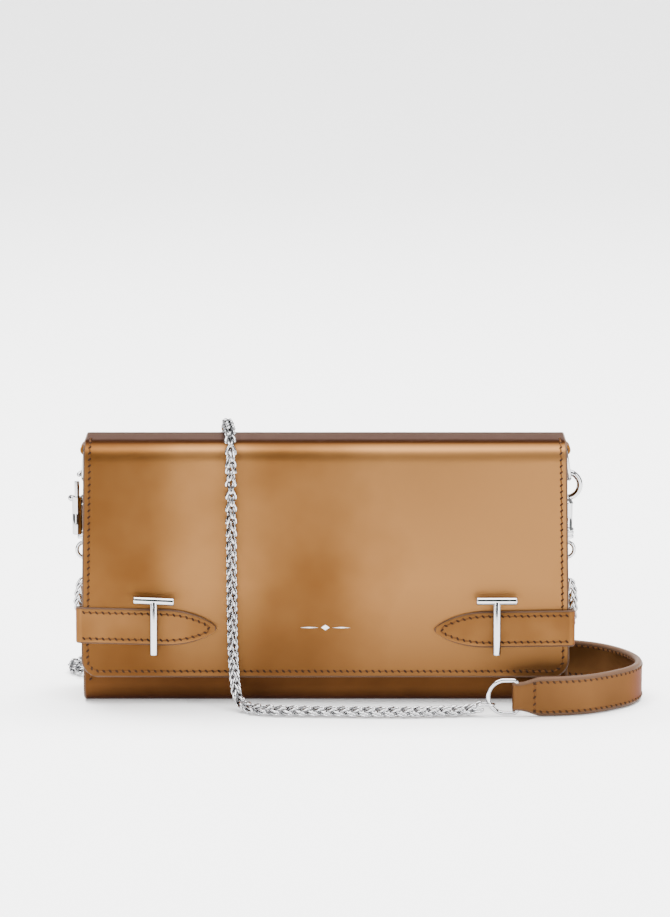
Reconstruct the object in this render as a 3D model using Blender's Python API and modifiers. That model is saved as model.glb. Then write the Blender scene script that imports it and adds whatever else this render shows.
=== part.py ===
"""Long leather wallet on a chain: a gusseted case with a fold-over flap, two toggle bars and two
tabs on the flap, a D-ring and a swivel snap hook at each end of the fold, and two lengths of
wheat chain joined by a leather strap.

Units are metres. +X is to the right, -Y is the front, +Z is up. The case stands on its base and
the origin is on the floor under the middle of the case and its hardware.
"""

import math

import bmesh
import bpy
from mathutils import Matrix, Vector

MM = 0.001
GAP = 0.3 * MM  # air left between pieces that touch

# Case
ROUTE_HEIGHT = 106 * MM  # case height that the routes are drawn for
ROUTE_DEPTH = 43 * MM
HEIGHT = 107.3 * MM
DEPTH = 43 * MM  # back of the case to the front of the toggle bars
BASE_WIDTH = 197 * MM
FOLD_WIDTH = 195 * MM
WALL = 2.0 * MM
LINING = 0.5 * MM
BACK_TOP_RADIUS = 7 * MM
FRONT_TOP_RADIUS = 8 * MM
BACK_BOTTOM_RADIUS = 6 * MM
FRONT_BOTTOM_RADIUS = 8 * MM
FRONT_HEIGHT = HEIGHT - 12 * MM
ARC_STEPS = 12
FOLD_GAP = 0.6 * MM  # air between panels that meet at a crease

# Flap
FLAP_WIDTH = 198 * MM
FLAP_LEATHER = 1.6 * MM
FLAP_LEAN = math.radians(4)
FLAP_EDGE_Z = 11.7 * MM
FLAP_CORNER = 7.5 * MM
FLAP_STANDOFF = 2.4 * MM  # air between the flap lining and the front panel
FLAP_STACK = FLAP_LEATHER + GAP + LINING

# Toggle bars on the flap
ROD = 3.3 * MM
TOGGLE_WIDTH = 16.4 * MM
TOGGLE_HEIGHT = 23.8 * MM
TOGGLE_LOW = 9.9 * MM  # above the flap edge
TOGGLE_STANDOFF = 4.65 * MM  # flap face to the rod's axis
TOGGLE_INSET = 29.8 * MM  # from the side of the flap
POST = 2.0 * MM
WASHER = 5.0 * MM
WASHER_THICK = 0.6 * MM

# Tabs round the sides of the flap
TAB_WIDTH = 14.8 * MM
TAB_THICK = 1.4 * MM
TAB_REACH = 55 * MM
TAB_POINT = 21 * MM
TAB_RETURN = 14 * MM
TAB_PROUD = 1.0 * MM
TAB_HEIGHT = {-1: 21.6 * MM, 1: 20.3 * MM}
TAB_DROOP = {-1: math.radians(1.4), 1: math.radians(0.7)}

# Magnets
MAGNET = 12 * MM
MAGNET_THICK = 0.65 * MM
MAGNET_X = 45 * MM
MAGNET_HEIGHT = 12 * MM

# Inside
GUSSET_THICK = 1.2 * MM
GUSSET_INSET = 3.5 * MM
GUSSET_FOLD = 7 * MM
GUSSET_LOW = 9 * MM
GUSSET_TOP = HEIGHT - 14 * MM
LINING_HALF = BASE_WIDTH / 2 - GUSSET_INSET - 3.5 * MM
POCKET_WIDTH = 164 * MM
POCKET_FRONT_Y = 5.4 * MM
POCKET_WALL = 1.2 * MM
POCKET_ROOM = 4.8 * MM
POCKET_LOW = 4 * MM
POCKET_TOP = HEIGHT - 26 * MM
TIER_THICK = 0.6 * MM
TIER_TOPS = (POCKET_TOP - 8 * MM, POCKET_TOP - 16 * MM, POCKET_TOP - 24 * MM)
ZIP_TAPE = 0.6 * MM
ZIP_TEETH_WIDTH = 1.0 * MM
ZIP_TEETH_HEIGHT = 1.6 * MM
ZIP_SLIDER = (9 * MM, 6 * MM, 3 * MM)
ZIP_SLIDER_X = 64 * MM
ZIP_CHEEK = 0.8 * MM
ZIP_CHEEK_HEIGHT = 2.6 * MM
ZIP_PULL_LENGTH = 14 * MM
ZIP_PULL_WIDTH = 3.4 * MM
ZIP_PULL_THICK = 1.2 * MM
ZIP_PIN = 1.0 * MM

# Ring and hook at each end of the fold
HANG_Y = 7.0 * MM
RING_BAR_X = 97.2 * MM
RING_BAR_Z = HEIGHT - 5.2 * MM
RING_WIRE = 2.0 * MM
RING_WIDTH = 14 * MM
RING_DROP = 12.6 * MM
RING_CORNER = 2 * MM
RING_TILT = {-1: math.radians(5), 1: math.radians(9)}
RING_TAB_WIDTH = 9 * MM
RING_TAB_THICK = 1.0 * MM
RING_TAB_X = 84.2 * MM
RING_TAB_LOW = HEIGHT - 32 * MM
JAW_DIAMETER = 12.9 * MM
JAW_WIRE = 2.4 * MM
JAW_OFFSET = {-1: 0.0, 1: -0.8 * MM}  # jaw's axis from the ring's lowest wire
BARREL = 5.0 * MM
COLLAR = 6.0 * MM
BARREL_LOW = -19.6 * MM
COLLAR_LOW = -22.2 * MM
BOLT_X = -3.6 * MM
BOLT = 2.0 * MM
BOLT_BORE = 2.6 * MM
BOLT_TUBE = 3.9 * MM
BOLT_TUBE_TOP = -4.4 * MM
BOLT_TUBE_LOW = -20 * MM
BOLT_LOW = -12.5 * MM
BOLT_TRAVEL = 4.0 * MM
KNOB = 2.4 * MM
KNOB_REACH = 5.2 * MM
KNOB_Z = -5.6 * MM
SPRING_RADIUS = 0.95 * MM
SPRING_WIRE = 0.4 * MM
SPRING_TURNS = 6
HOOK_TURN = {-1: math.radians(38), 1: 0.0}
EYE_WIRE = 1.6 * MM
EYE_RADIUS = 3.2 * MM
EYE_STEM = 2.4 * MM
EYE_STEM_ROOM = 0.3 * MM
END_WIRE = 1.4 * MM
END_RADIUS = 3.3 * MM

# Chains and strap
CHAIN = 4.8 * MM
CHAIN_STEP = 4.5 * MM
STRAP_WIDTH = 16.2 * MM
STRAP_THICK = 3.0 * MM
STRAP_STEP = 6.0 * MM
STRAP_RING_WIRE = 1.8 * MM
STRAP_RING_HEIGHT = 15.4 * MM
STRAP_RING_REACH = 12.0 * MM
STRAP_RING_Z = 0.9 * MM
STRAP_Z = 0.2 * MM

# Routes, chosen by hand, in millimetres
LEFT_CHAIN_ROUTE = (
    (-98.5, 7, 48.8), (-100, 9.6, 43.8), (-101.3, 14.5, 37.6), (-101.4, 20, 32.2), (-98.6, 25.4, 28.4),
    (-92, 27.2, 26.3), (-83, 26.8, 25), (-73, 26.3, 25.4), (-64, 26, 29), (-56, 25.8, 37), (-50, 25.6, 49),
    (-46, 25.4, 63), (-42.5, 25.1, 80), (-41.1, 25.1, 97), (-40.6, 22.4, 106.4), (-40, 14.8, 109.5),
    (-39.2, 6, 109.4), (-38.6, -1.5, 109.3), (-38.2, -9.6, 106.2), (-38, -12.9, 97.5), (-37.9, -14.1, 78),
    (-37.8, -15.7, 54), (-37.6, -17.3, 34), (-37.3, -18.7, 22), (-36.7, -20.4, 13.4), (-35.8, -23.2, 7),
    (-33.5, -26.8, 3.5), (-30, -30.4, 2.6), (-24.5, -33.1, 2.6), (-15, -34.4, 2.6), (0, -35, 2.6),
    (18, -36, 2.6), (37, -36, 2.6), (52, -34.6, 2.6), (58.5, -33.8, 3), (63.2, -33.9, 4.4),
)
RIGHT_CHAIN_ROUTE = (
    (-98.9, 34, 4.2), (-103.6, 37, 2.8), (-106, 43.5, 2.6), (-103, 51, 2.6), (-94, 55.3, 2.6),
    (-79, 55.6, 2.6), (-61, 51, 2.6), (-42, 47.6, 2.6), (-22, 49.8, 2.6), (-4, 55, 2.6), (15, 58, 2.6),
    (34, 55.8, 2.6), (52, 50.5, 2.6), (67, 47.8, 2.6), (78, 47.2, 2.7), (86, 45.6, 5.4), (91.4, 42.4, 11),
    (95, 38.4, 16.8), (98, 33.6, 20), (100.2, 28, 22.6), (101.5, 21.5, 27), (101.7, 15.5, 34),
    (101.0, 10.8, 41.2), (98.8, 7.1, 48.9),
)
STRAP_ROUTE = (
    (78.5, -34.1), (92, -33.7), (104.5, -30.6), (115, -24), (123.5, -15.5), (127.6, -5.5), (127, 5.5),
    (121.8, 17), (113.6, 26.3), (103.5, 31.6), (92, 33.4), (70, 33.5), (40, 33.5), (10, 33.5), (-20, 33.5),
    (-52, 33.5), (-84.5, 33.5),
)

# Derived places
SIDES = {"left": -1, "right": 1}
BACK_Y = DEPTH / 2
TOGGLE_TOP = TOGGLE_LOW + TOGGLE_HEIGHT
TOGGLE_PROUD = (TOGGLE_STANDOFF + ROD / 2) * math.cos(FLAP_LEAN) - TOGGLE_LOW * math.sin(FLAP_LEAN)
FLAP_EDGE_Y = -DEPTH / 2 + TOGGLE_PROUD
FLAP_TO_FRONT = (FLAP_STACK + FLAP_STANDOFF) / math.cos(FLAP_LEAN)
BACK_INNER_Y = BACK_Y - WALL
POCKET_BACK_Y = POCKET_FRONT_Y + POCKET_WALL + POCKET_ROOM
POCKET_MID_Y = POCKET_FRONT_Y + POCKET_WALL + POCKET_ROOM / 2
STRAP_RING_TOP = STRAP_RING_Z + STRAP_RING_HEIGHT - STRAP_RING_WIRE

FINISHES = {
    "leather": ((0.36, 0.19, 0.09), 0.38, 0.55),
    "dark_leather": ((0.12, 0.06, 0.03), 0.5, 0.2),
    "lining": ((0.09, 0.06, 0.045), 0.8, 0.0),
    "chrome": ((0.75, 0.75, 0.77), 0.12, 1.0),
    "brass": ((0.6, 0.48, 0.25), 0.3, 1.0),
    "tape": ((0.05, 0.035, 0.03), 0.85, 0.0),
}


def start_scene():
    """Empty the scene and make the collections for the parts and for the cutters."""
    for old in list(bpy.data.objects):
        bpy.data.objects.remove(old, do_unlink=True)
    made = []
    for name in ("chain_wallet", "helpers"):
        group = bpy.data.collections.new(name)
        bpy.context.scene.collection.children.link(group)
        made.append(group)
    return made


PARTS, HELPERS = start_scene()


def finish_material(name, finish):
    """A Principled material of one finish for one piece."""
    colour, roughness, metallic = FINISHES[finish]
    material = bpy.data.materials.new(name + "_" + finish)
    material.use_nodes = True
    shader = material.node_tree.nodes["Principled BSDF"]
    shader.inputs["Base Color"].default_value = (*colour, 1)
    shader.inputs["Roughness"].default_value = roughness
    shader.inputs["Metallic"].default_value = metallic
    return material


def add_piece(name, data, finish, parent=None):
    """Put mesh or curve data in the parts collection as a named piece."""
    piece = bpy.data.objects.new(name, data)
    PARTS.objects.link(piece)
    data.materials.append(finish_material(name, finish))
    piece.parent = parent
    return piece


def add_frame(name, location, rotation=(0, 0, 0), parent=None):
    """An empty that carries the pieces of one sub-assembly."""
    frame = bpy.data.objects.new(name, None)
    PARTS.objects.link(frame)
    frame.location = location
    frame.rotation_euler = rotation
    frame.parent = parent
    return frame


def make_helper(piece):
    """Turn a piece into a cutter or a lump that a Boolean uses."""
    PARTS.objects.unlink(piece)
    HELPERS.objects.link(piece)
    piece.hide_render = True
    piece.display_type = "WIRE"


def boolean(piece, other, operation):
    """Cut with, or add, a helper."""
    make_helper(other)
    step = piece.modifiers.new(other.name, "BOOLEAN")
    step.operation = operation
    step.object = other


def box(name, low, high, finish, parent=None):
    """A block between two corners."""
    low, high = Vector(low), Vector(high)
    shape = bmesh.new()
    bmesh.ops.create_cube(shape, size=1)
    bmesh.ops.scale(shape, vec=high - low, verts=shape.verts)
    bmesh.ops.translate(shape, vec=(low + high) / 2, verts=shape.verts)
    return mesh_piece(name, shape, finish, parent)


def mesh_piece(name, shape, finish, parent=None):
    """A piece from a bmesh, shaded smooth between gentle angles."""
    mesh = bpy.data.meshes.new(name)
    shape.to_mesh(mesh)
    shape.free()
    mesh.shade_smooth()
    mesh.set_sharp_from_angle(angle=math.radians(35))
    return add_piece(name, mesh, finish, parent)


def rod(name, start, end, diameter, finish, parent=None, sides=16):
    """A round bar between two points."""
    start, end = Vector(start), Vector(end)
    along = end - start
    turn = along.to_track_quat("Z", "Y").to_matrix().to_4x4()
    shape = bmesh.new()
    bmesh.ops.create_cone(
        shape, cap_ends=True, segments=sides, radius1=diameter / 2, radius2=diameter / 2, depth=along.length
    )
    bmesh.ops.transform(shape, matrix=Matrix.Translation((start + end) / 2) @ turn, verts=shape.verts)
    return mesh_piece(name, shape, finish, parent)


def sheet(name, place, columns, rows, thickness, finish, parent=None, side=-1):
    """A grid moved to place(u, row) and given a wall on one side."""
    shape = bmesh.new()
    bmesh.ops.create_grid(shape, x_segments=columns, y_segments=rows, size=1)
    for point in shape.verts:
        across = (point.co.x + 1) / 2
        row = round((point.co.y + 1) / 2 * rows)
        point.co = place(across, row)
    piece = mesh_piece(name, shape, finish, parent)
    wall = piece.modifiers.new("wall", "SOLIDIFY")
    wall.thickness = thickness
    wall.offset = side
    wall.use_even_offset = True
    return piece


def wire(name, points, diameter, finish, parent=None, closed=False):
    """A round wire along a list of points."""
    data = bpy.data.curves.new(name, "CURVE")
    data.dimensions = "3D"
    data.bevel_depth = diameter / 2
    data.bevel_resolution = 2
    data.use_fill_caps = not closed
    line = data.splines.new("POLY")
    line.points.add(len(points) - 1)
    for place, point in zip(line.points, points):
        place.co = (*point, 1)
    line.use_cyclic_u = closed
    return add_piece(name, data, finish, parent)


def wire_mesh(name, points, diameter, finish, parent=None, closed=False):
    """The same wire as a welded mesh, ready for Booleans."""
    curve = wire(name + "_curve", points, diameter, finish, parent, closed)
    bpy.context.view_layer.update()
    mesh = bpy.data.meshes.new_from_object(curve.evaluated_get(bpy.context.evaluated_depsgraph_get()))
    shape = bmesh.new()
    shape.from_mesh(mesh)
    bmesh.ops.remove_doubles(shape, verts=shape.verts, dist=1e-6)
    bpy.data.objects.remove(curve)
    return mesh_piece(name, shape, finish, parent)


def rounded(corners, radii, steps=ARC_STEPS):
    """A 2D path through corners with each inner corner rounded, and the index of each arc's middle."""
    corners = [Vector(corner) for corner in corners]
    path, middles = [corners[0]], []
    for before, corner, after, radius in zip(corners, corners[1:], corners[2:], radii):
        back, ahead = (before - corner).normalized(), (after - corner).normalized()
        half = back.angle(ahead) / 2
        centre = corner + (back + ahead).normalized() * radius / math.sin(half)
        start = corner + back * radius / math.tan(half) - centre
        sweep = math.pi - 2 * half
        turn = math.copysign(sweep, back.x * ahead.y - back.y * ahead.x) * -1
        middles.append(len(path) + steps // 2)
        for step in range(steps + 1):
            angle = turn * step / steps
            cos, sin = math.cos(angle), math.sin(angle)
            path.append(centre + Vector((start.x * cos - start.y * sin, start.x * sin + start.y * cos)))
    path.append(corners[-1])
    return path, middles


def inset(path, distance):
    """The path moved to its right-hand side by a distance."""
    moved = []
    for index, point in enumerate(path):
        before = (point - path[index - 1]).normalized() if index else None
        after = (path[index + 1] - point).normalized() if index < len(path) - 1 else before
        before = before or after
        normal = Vector((before.y, -before.x)) + Vector((after.y, -after.x))
        normal.normalize()
        moved.append(point + normal * distance / normal.dot(Vector((after.y, -after.x))))
    return moved


def trimmed(path, start=0.0, end=0.0):
    """The path with a little taken off either end."""
    path = [point.copy() for point in path]
    path[0] += (path[1] - path[0]).normalized() * start
    path[-1] += (path[-2] - path[-1]).normalized() * end
    return path


def flap_y(height):
    """The outer face of the flap at a height."""
    return FLAP_EDGE_Y + (height - FLAP_EDGE_Z) * math.tan(FLAP_LEAN)


def front_y(height):
    """The outer face of the front panel at a height."""
    return flap_y(height) + FLAP_TO_FRONT


def body_half(height):
    """Half the width of the case at a height."""
    return (BASE_WIDTH + (FOLD_WIDTH - BASE_WIDTH) * height / HEIGHT) / 2


def flap_half(height):
    """Half the width of the flap at a height, without its round corners."""
    share = (height - FLAP_EDGE_Z) / (HEIGHT - FLAP_EDGE_Z)
    return (FLAP_WIDTH + (FOLD_WIDTH - FLAP_WIDTH) * share) / 2


def panel(name, path, thickness, finish, half_width, columns=8):
    """A sheet as wide as the case that follows a side path of (y, z) points."""
    def place(across, row):
        y, z = path[row]
        return Vector(((2 * across - 1) * half_width(z), y, z))
    return sheet(name, place, columns, len(path) - 1, thickness, finish)


def smooth_route(points, step):
    """Points at an even step along a smooth curve through a route's points."""
    knots = [Vector(point) * MM for point in points]
    ends = [2 * knots[0] - knots[1]] + knots + [2 * knots[-1] - knots[-2]]
    fine = []
    for first, second, third, fourth in zip(ends, ends[1:], ends[2:], ends[3:]):
        for part in range(12):
            t = part / 12
            fine.append(0.5 * (
                2 * second + (third - first) * t + (2 * first - 5 * second + 4 * third - fourth) * t * t
                + (3 * second - first - 3 * third + fourth) * t ** 3
            ))
    fine.append(knots[-1])
    lengths = [0.0]
    for before, after in zip(fine, fine[1:]):
        lengths.append(lengths[-1] + (after - before).length)
    count = max(2, round(lengths[-1] / step))
    made, at = [], 0
    for number in range(count + 1):
        target = lengths[-1] * number / count
        while at < len(lengths) - 2 and lengths[at + 1] < target:
            at += 1
        share = (target - lengths[at]) / (lengths[at + 1] - lengths[at])
        made.append(fine[at].lerp(fine[at + 1], min(1.0, share)))
    return made


def d_outline(width, reach, corner, steps=12):
    """A D as 2D points: a straight bar along the first axis, and a bow that reaches along -second."""
    half = width / 2
    points = []
    for side in (-1, 1):
        for step in range(4):
            angle = math.pi / 2 * step / 3
            across = half - corner + corner * math.sin(angle if side == 1 else math.pi / 2 - angle)
            down = corner - corner * math.cos(angle if side == 1 else math.pi / 2 - angle)
            points.append((side * across, -down))
    for step in range(1, steps):
        angle = math.pi * step / steps
        points.append((half * math.cos(angle), -(reach - half) - half * math.sin(angle)))
    return points


def make_case():
    """Back, base and front panels, the flap, and the linings."""
    front_top = (flap_y(HEIGHT), HEIGHT)
    corners = (
        (FLAP_EDGE_Y, FLAP_EDGE_Z), front_top, (BACK_Y, HEIGHT), (BACK_Y, 0),
        (front_y(0), 0), (front_y(FRONT_HEIGHT), FRONT_HEIGHT),
    )
    radii = (FRONT_TOP_RADIUS, BACK_TOP_RADIUS, BACK_BOTTOM_RADIUS, FRONT_BOTTOM_RADIUS)
    path, (_, fold, heel, toe) = rounded(corners, radii)
    half_gap = FOLD_GAP / 2
    flap_path = trimmed(path[: fold + 1], end=half_gap)
    panel("back_panel", trimmed(path[fold : heel + 1], half_gap, half_gap), WALL, "leather", body_half)
    panel("base_panel", trimmed(path[heel : toe + 1], half_gap, half_gap), WALL, "leather", body_half)
    panel("front_panel", trimmed(path[toe:], half_gap), WALL, "leather", body_half)
    back_lining = [Vector((BACK_INNER_Y - GAP, z)) for z in (HEIGHT - 14 * MM, 50 * MM, 8 * MM)]
    front_inner = WALL / math.cos(FLAP_LEAN) + GAP
    front_lining = [Vector((front_y(z) + front_inner, z)) for z in (10 * MM, 50 * MM, HEIGHT - 16 * MM)]
    panel("back_lining", back_lining, LINING, "lining", lambda z: LINING_HALF)
    panel("front_lining", front_lining, LINING, "lining", lambda z: LINING_HALF)
    return make_flap(flap_path)


def make_flap(path):
    """The flap's leather and its lining, with round lower corners and holes for the toggle posts."""
    up = (path[1] - path[0]).normalized()
    corner_rows = []
    for step in range(7):
        rise = FLAP_CORNER * (1 - math.cos(math.pi / 2 * step / 6))
        corner_rows.append(path[0] + up * rise)
    path = corner_rows + path[1:]

    def half_width(inner, corner):
        def at(height):
            rise = (height - FLAP_EDGE_Z) / math.cos(FLAP_LEAN)
            cut = corner - math.sqrt(max(0.0, corner**2 - (corner - min(rise, corner)) ** 2))
            return flap_half(height) - inner - cut
        return at

    flap = panel("flap", path, FLAP_LEATHER, "leather", half_width(0, FLAP_CORNER), columns=12)
    lining_path = inset(path, FLAP_LEATHER + GAP)
    start = len(corner_rows)
    lining_path = [lining_path[0] + up * 2 * MM] + lining_path[start:-3]
    lining = panel("flap_lining", lining_path, LINING, "lining", half_width(2 * MM, 0.1 * MM))
    return flap, lining


def make_toggles(flap, lining, face):
    """T-shaped bars that stand off the flap on two posts, with washers behind."""
    behind = FLAP_STACK + GAP
    for side_name, side in SIDES.items():
        x = side * (FLAP_WIDTH / 2 - TOGGLE_INSET)
        name = side_name + "_toggle_bar"
        bar_z = TOGGLE_TOP - ROD / 2
        half = TOGGLE_WIDTH / 2
        bar = rod(name, (x - half, -TOGGLE_STANDOFF, bar_z), (x + half, -TOGGLE_STANDOFF, bar_z), ROD,
                  "chrome", face)
        stem_foot = (x, -TOGGLE_STANDOFF, TOGGLE_LOW)
        stem = rod(name + "_stem", stem_foot, (x, -TOGGLE_STANDOFF, bar_z), ROD * 0.99, "chrome", face)
        boolean(bar, stem, "UNION")
        heights = {"upper": bar_z, "lower": TOGGLE_LOW + POST * 0.65}
        for level, height in heights.items():
            post_name = name + "_post_" + level
            post_end = (x, behind + WASHER_THICK, height)
            post = rod(post_name, (x, -TOGGLE_STANDOFF, height), post_end, POST, "chrome", face)
            boolean(bar, post, "UNION")
            bore = POST + 2 * GAP
            washer_name = side_name + "_toggle_washer_" + level
            washer = rod(washer_name, (x, behind, height), (x, behind + WASHER_THICK, height), WASHER,
                         "chrome", face)
            for target in (flap, lining, washer):
                hole = rod(target.name + post_name, (x, -WALL, height), (x, 2 * WALL + behind, height), bore,
                           "chrome", face)
                boolean(target, hole, "DIFFERENCE")


def make_tabs(face):
    """Pointed leather tabs that wrap round the sides of the flap."""
    for side_name, side in SIDES.items():
        height = TAB_HEIGHT[side]
        edge = flap_half(FLAP_EDGE_Z + height) + TAB_PROUD
        tip = FLAP_WIDTH / 2 - TAB_REACH
        back = FLAP_STACK + GAP
        corners = ((tip, -GAP), (edge, -GAP), (edge, back), (edge - TAB_RETURN, back))
        path, _ = rounded(corners, (1 * MM, 1 * MM), steps=4)
        shoulders = [Vector((tip + TAB_POINT * step / 8, -GAP)) for step in range(9)]
        path = shoulders + path[1:]

        def place(across, row):
            x, y = path[row]
            reach = min(1.0, max(0.0, (x - tip) / TAB_POINT)) if row < 9 else 1.0
            half = TAB_WIDTH / 2 * (0.06 + 0.94 * math.sin(reach * math.pi / 2) ** 0.75)
            fall = (edge - x) * math.sin(TAB_DROOP[side])
            return Vector((side * x, y, height - fall + (2 * across - 1) * half))

        sheet(side_name + "_tab", place, 6, len(path) - 1, TAB_THICK, "leather", face, side=-side)


def make_magnets(face):
    """Thin discs behind the flap and on the front panel, face to face."""
    flap_back = FLAP_STACK + GAP
    case_back = FLAP_STACK + FLAP_STANDOFF - GAP
    for side_name, side in SIDES.items():
        x = side * MAGNET_X
        start, end = (x, flap_back, MAGNET_HEIGHT), (x, flap_back + MAGNET_THICK, MAGNET_HEIGHT)
        rod(side_name + "_flap_magnet", start, end, MAGNET, "chrome", face, sides=24)
        start, end = (x, case_back - MAGNET_THICK, MAGNET_HEIGHT), (x, case_back, MAGNET_HEIGHT)
        rod(side_name + "_case_magnet", start, end, MAGNET, "chrome", face, sides=24)


def make_gussets():
    """Inward-folded sides between the front and the back."""
    rows = 3
    for side_name, side in SIDES.items():
        def place(across, row):
            z = GUSSET_LOW + (GUSSET_TOP - GUSSET_LOW) * row / rows
            front = front_y(z) + WALL / math.cos(FLAP_LEAN) + GAP
            back = BACK_INNER_Y - GAP
            x = body_half(z) - GUSSET_INSET - GUSSET_FOLD * math.sin(math.pi * across)
            return Vector((side * x, front + (back - front) * across, z))
        sheet(side_name + "_gusset", place, 10, rows, GUSSET_THICK, "leather", side=side)


def make_pocket():
    """A zipped coin pocket in the middle, with card tiers on its front."""
    half = POCKET_WIDTH / 2
    for name, y in (("pocket_front", POCKET_FRONT_Y), ("pocket_back", POCKET_BACK_Y)):
        box(name, (-half, y, POCKET_LOW), (half, y + POCKET_WALL, POCKET_TOP), "lining")
    low = POCKET_LOW + POCKET_WALL
    inner = half - POCKET_WALL
    path, _ = rounded(((-inner, POCKET_TOP - GAP), (-inner, low), (inner, low), (inner, POCKET_TOP - GAP)),
                      (3 * MM, 3 * MM), steps=4)
    y_low = POCKET_FRONT_Y + POCKET_WALL + GAP
    y_high = POCKET_BACK_Y - GAP

    def place(across, row):
        x, z = path[row]
        return Vector((x, y_low + (y_high - y_low) * across, z))

    sheet("pocket_gusset", place, 1, len(path) - 1, POCKET_WALL - GAP, "lining")
    for number, top in enumerate(TIER_TOPS, start=1):
        y = POCKET_FRONT_Y - number * (TIER_THICK + GAP)
        box(f"card_tier_{number}", (-half, y, POCKET_LOW), (half, y + TIER_THICK, top), "dark_leather")


def make_zip():
    """Tapes, teeth, slider and pull along the top of the coin pocket."""
    half = POCKET_WIDTH / 2
    tape_low = POCKET_TOP + GAP
    tape_top = tape_low + ZIP_TAPE
    teeth_half = ZIP_TEETH_WIDTH / 2
    for name, y_low, y_high in (
        ("zip_tape_front", POCKET_FRONT_Y, POCKET_MID_Y - teeth_half - GAP),
        ("zip_tape_back", POCKET_MID_Y + teeth_half + GAP, POCKET_BACK_Y + POCKET_WALL),
    ):
        box(name, (-half, y_low, tape_low), (half, y_high, tape_top), "tape")
    teeth_low = tape_low - (ZIP_TEETH_HEIGHT - ZIP_TAPE) / 2
    teeth_top = teeth_low + ZIP_TEETH_HEIGHT
    box("zip_teeth", (-half + 2 * MM, POCKET_MID_Y - teeth_half, teeth_low),
        (half - 2 * MM, POCKET_MID_Y + teeth_half, teeth_top), "brass")
    length, width, height = ZIP_SLIDER
    slider_low = tape_top + GAP
    slider_top = slider_low + height
    x = ZIP_SLIDER_X
    slider = box("zip_slider", (x - length / 2, POCKET_MID_Y - width / 2, slider_low),
                 (x + length / 2, POCKET_MID_Y + width / 2, slider_top), "brass")
    channel = teeth_half + GAP
    groove = box("zip_groove", (x - length, POCKET_MID_Y - channel, slider_low - height),
                 (x + length, POCKET_MID_Y + channel, teeth_top + GAP), "brass")
    boolean(slider, groove, "DIFFERENCE")
    pin_z = slider_top + ZIP_CHEEK_HEIGHT / 2
    cheek_in = ZIP_PULL_WIDTH / 2 + GAP
    for label, sign in (("front", -1), ("back", 1)):
        y_pair = sorted((POCKET_MID_Y + sign * cheek_in, POCKET_MID_Y + sign * (cheek_in + ZIP_CHEEK)))
        cheek = box("zip_cheek_" + label, (x - 1.6 * MM, y_pair[0], slider_low + height / 2),
                    (x + 1.6 * MM, y_pair[1], slider_top + ZIP_CHEEK_HEIGHT), "brass")
        boolean(slider, cheek, "UNION")
    reach = cheek_in + ZIP_CHEEK
    bore = rod("zip_bore", (x, POCKET_MID_Y - 2 * reach, pin_z), (x, POCKET_MID_Y + 2 * reach, pin_z),
               ZIP_PIN + 2 * GAP, "brass")
    boolean(slider, bore, "DIFFERENCE")
    pull_half = ZIP_PULL_WIDTH / 2
    pull = box("zip_pull", (x, POCKET_MID_Y - pull_half, pin_z - ZIP_PULL_THICK / 2),
               (x + ZIP_PULL_LENGTH, POCKET_MID_Y + pull_half, pin_z + ZIP_PULL_THICK / 2), "brass")
    barrel = rod("zip_pull_barrel", (x, POCKET_MID_Y - pull_half, pin_z),
                 (x, POCKET_MID_Y + pull_half, pin_z), ZIP_PULL_THICK * 1.5, "brass")
    pin = rod("zip_pull_pin", (x, POCKET_MID_Y - reach, pin_z), (x, POCKET_MID_Y + reach, pin_z), ZIP_PIN,
              "brass")
    boolean(pull, barrel, "UNION")
    boolean(pull, pin, "UNION")


def make_ring_tab(side_name, side):
    """The leather loop that holds the D-ring, sewn inside the gusset."""
    radius = RING_WIRE / 2 + 0.35 * MM
    top = RING_BAR_Z + radius
    low = RING_BAR_Z - radius
    bend, _ = rounded(((RING_TAB_X, RING_TAB_LOW), (RING_TAB_X, top), (RING_BAR_X, top)), (5 * MM,), steps=6)
    loop = []
    for step in range(13):
        angle = math.pi / 2 - math.pi * step / 12
        loop.append(Vector((RING_BAR_X + radius * math.cos(angle), RING_BAR_Z + radius * math.sin(angle))))
    path = bend[:-1] + loop + [Vector((RING_BAR_X - 4 * MM, low))]

    def place(across, row):
        x, z = path[row]
        return Vector((side * x, HANG_Y + (across - 0.5) * RING_TAB_WIDTH, z))

    sheet(side_name + "_ring_tab", place, 2, len(path) - 1, RING_TAB_THICK, "leather", side=-side)


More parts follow.
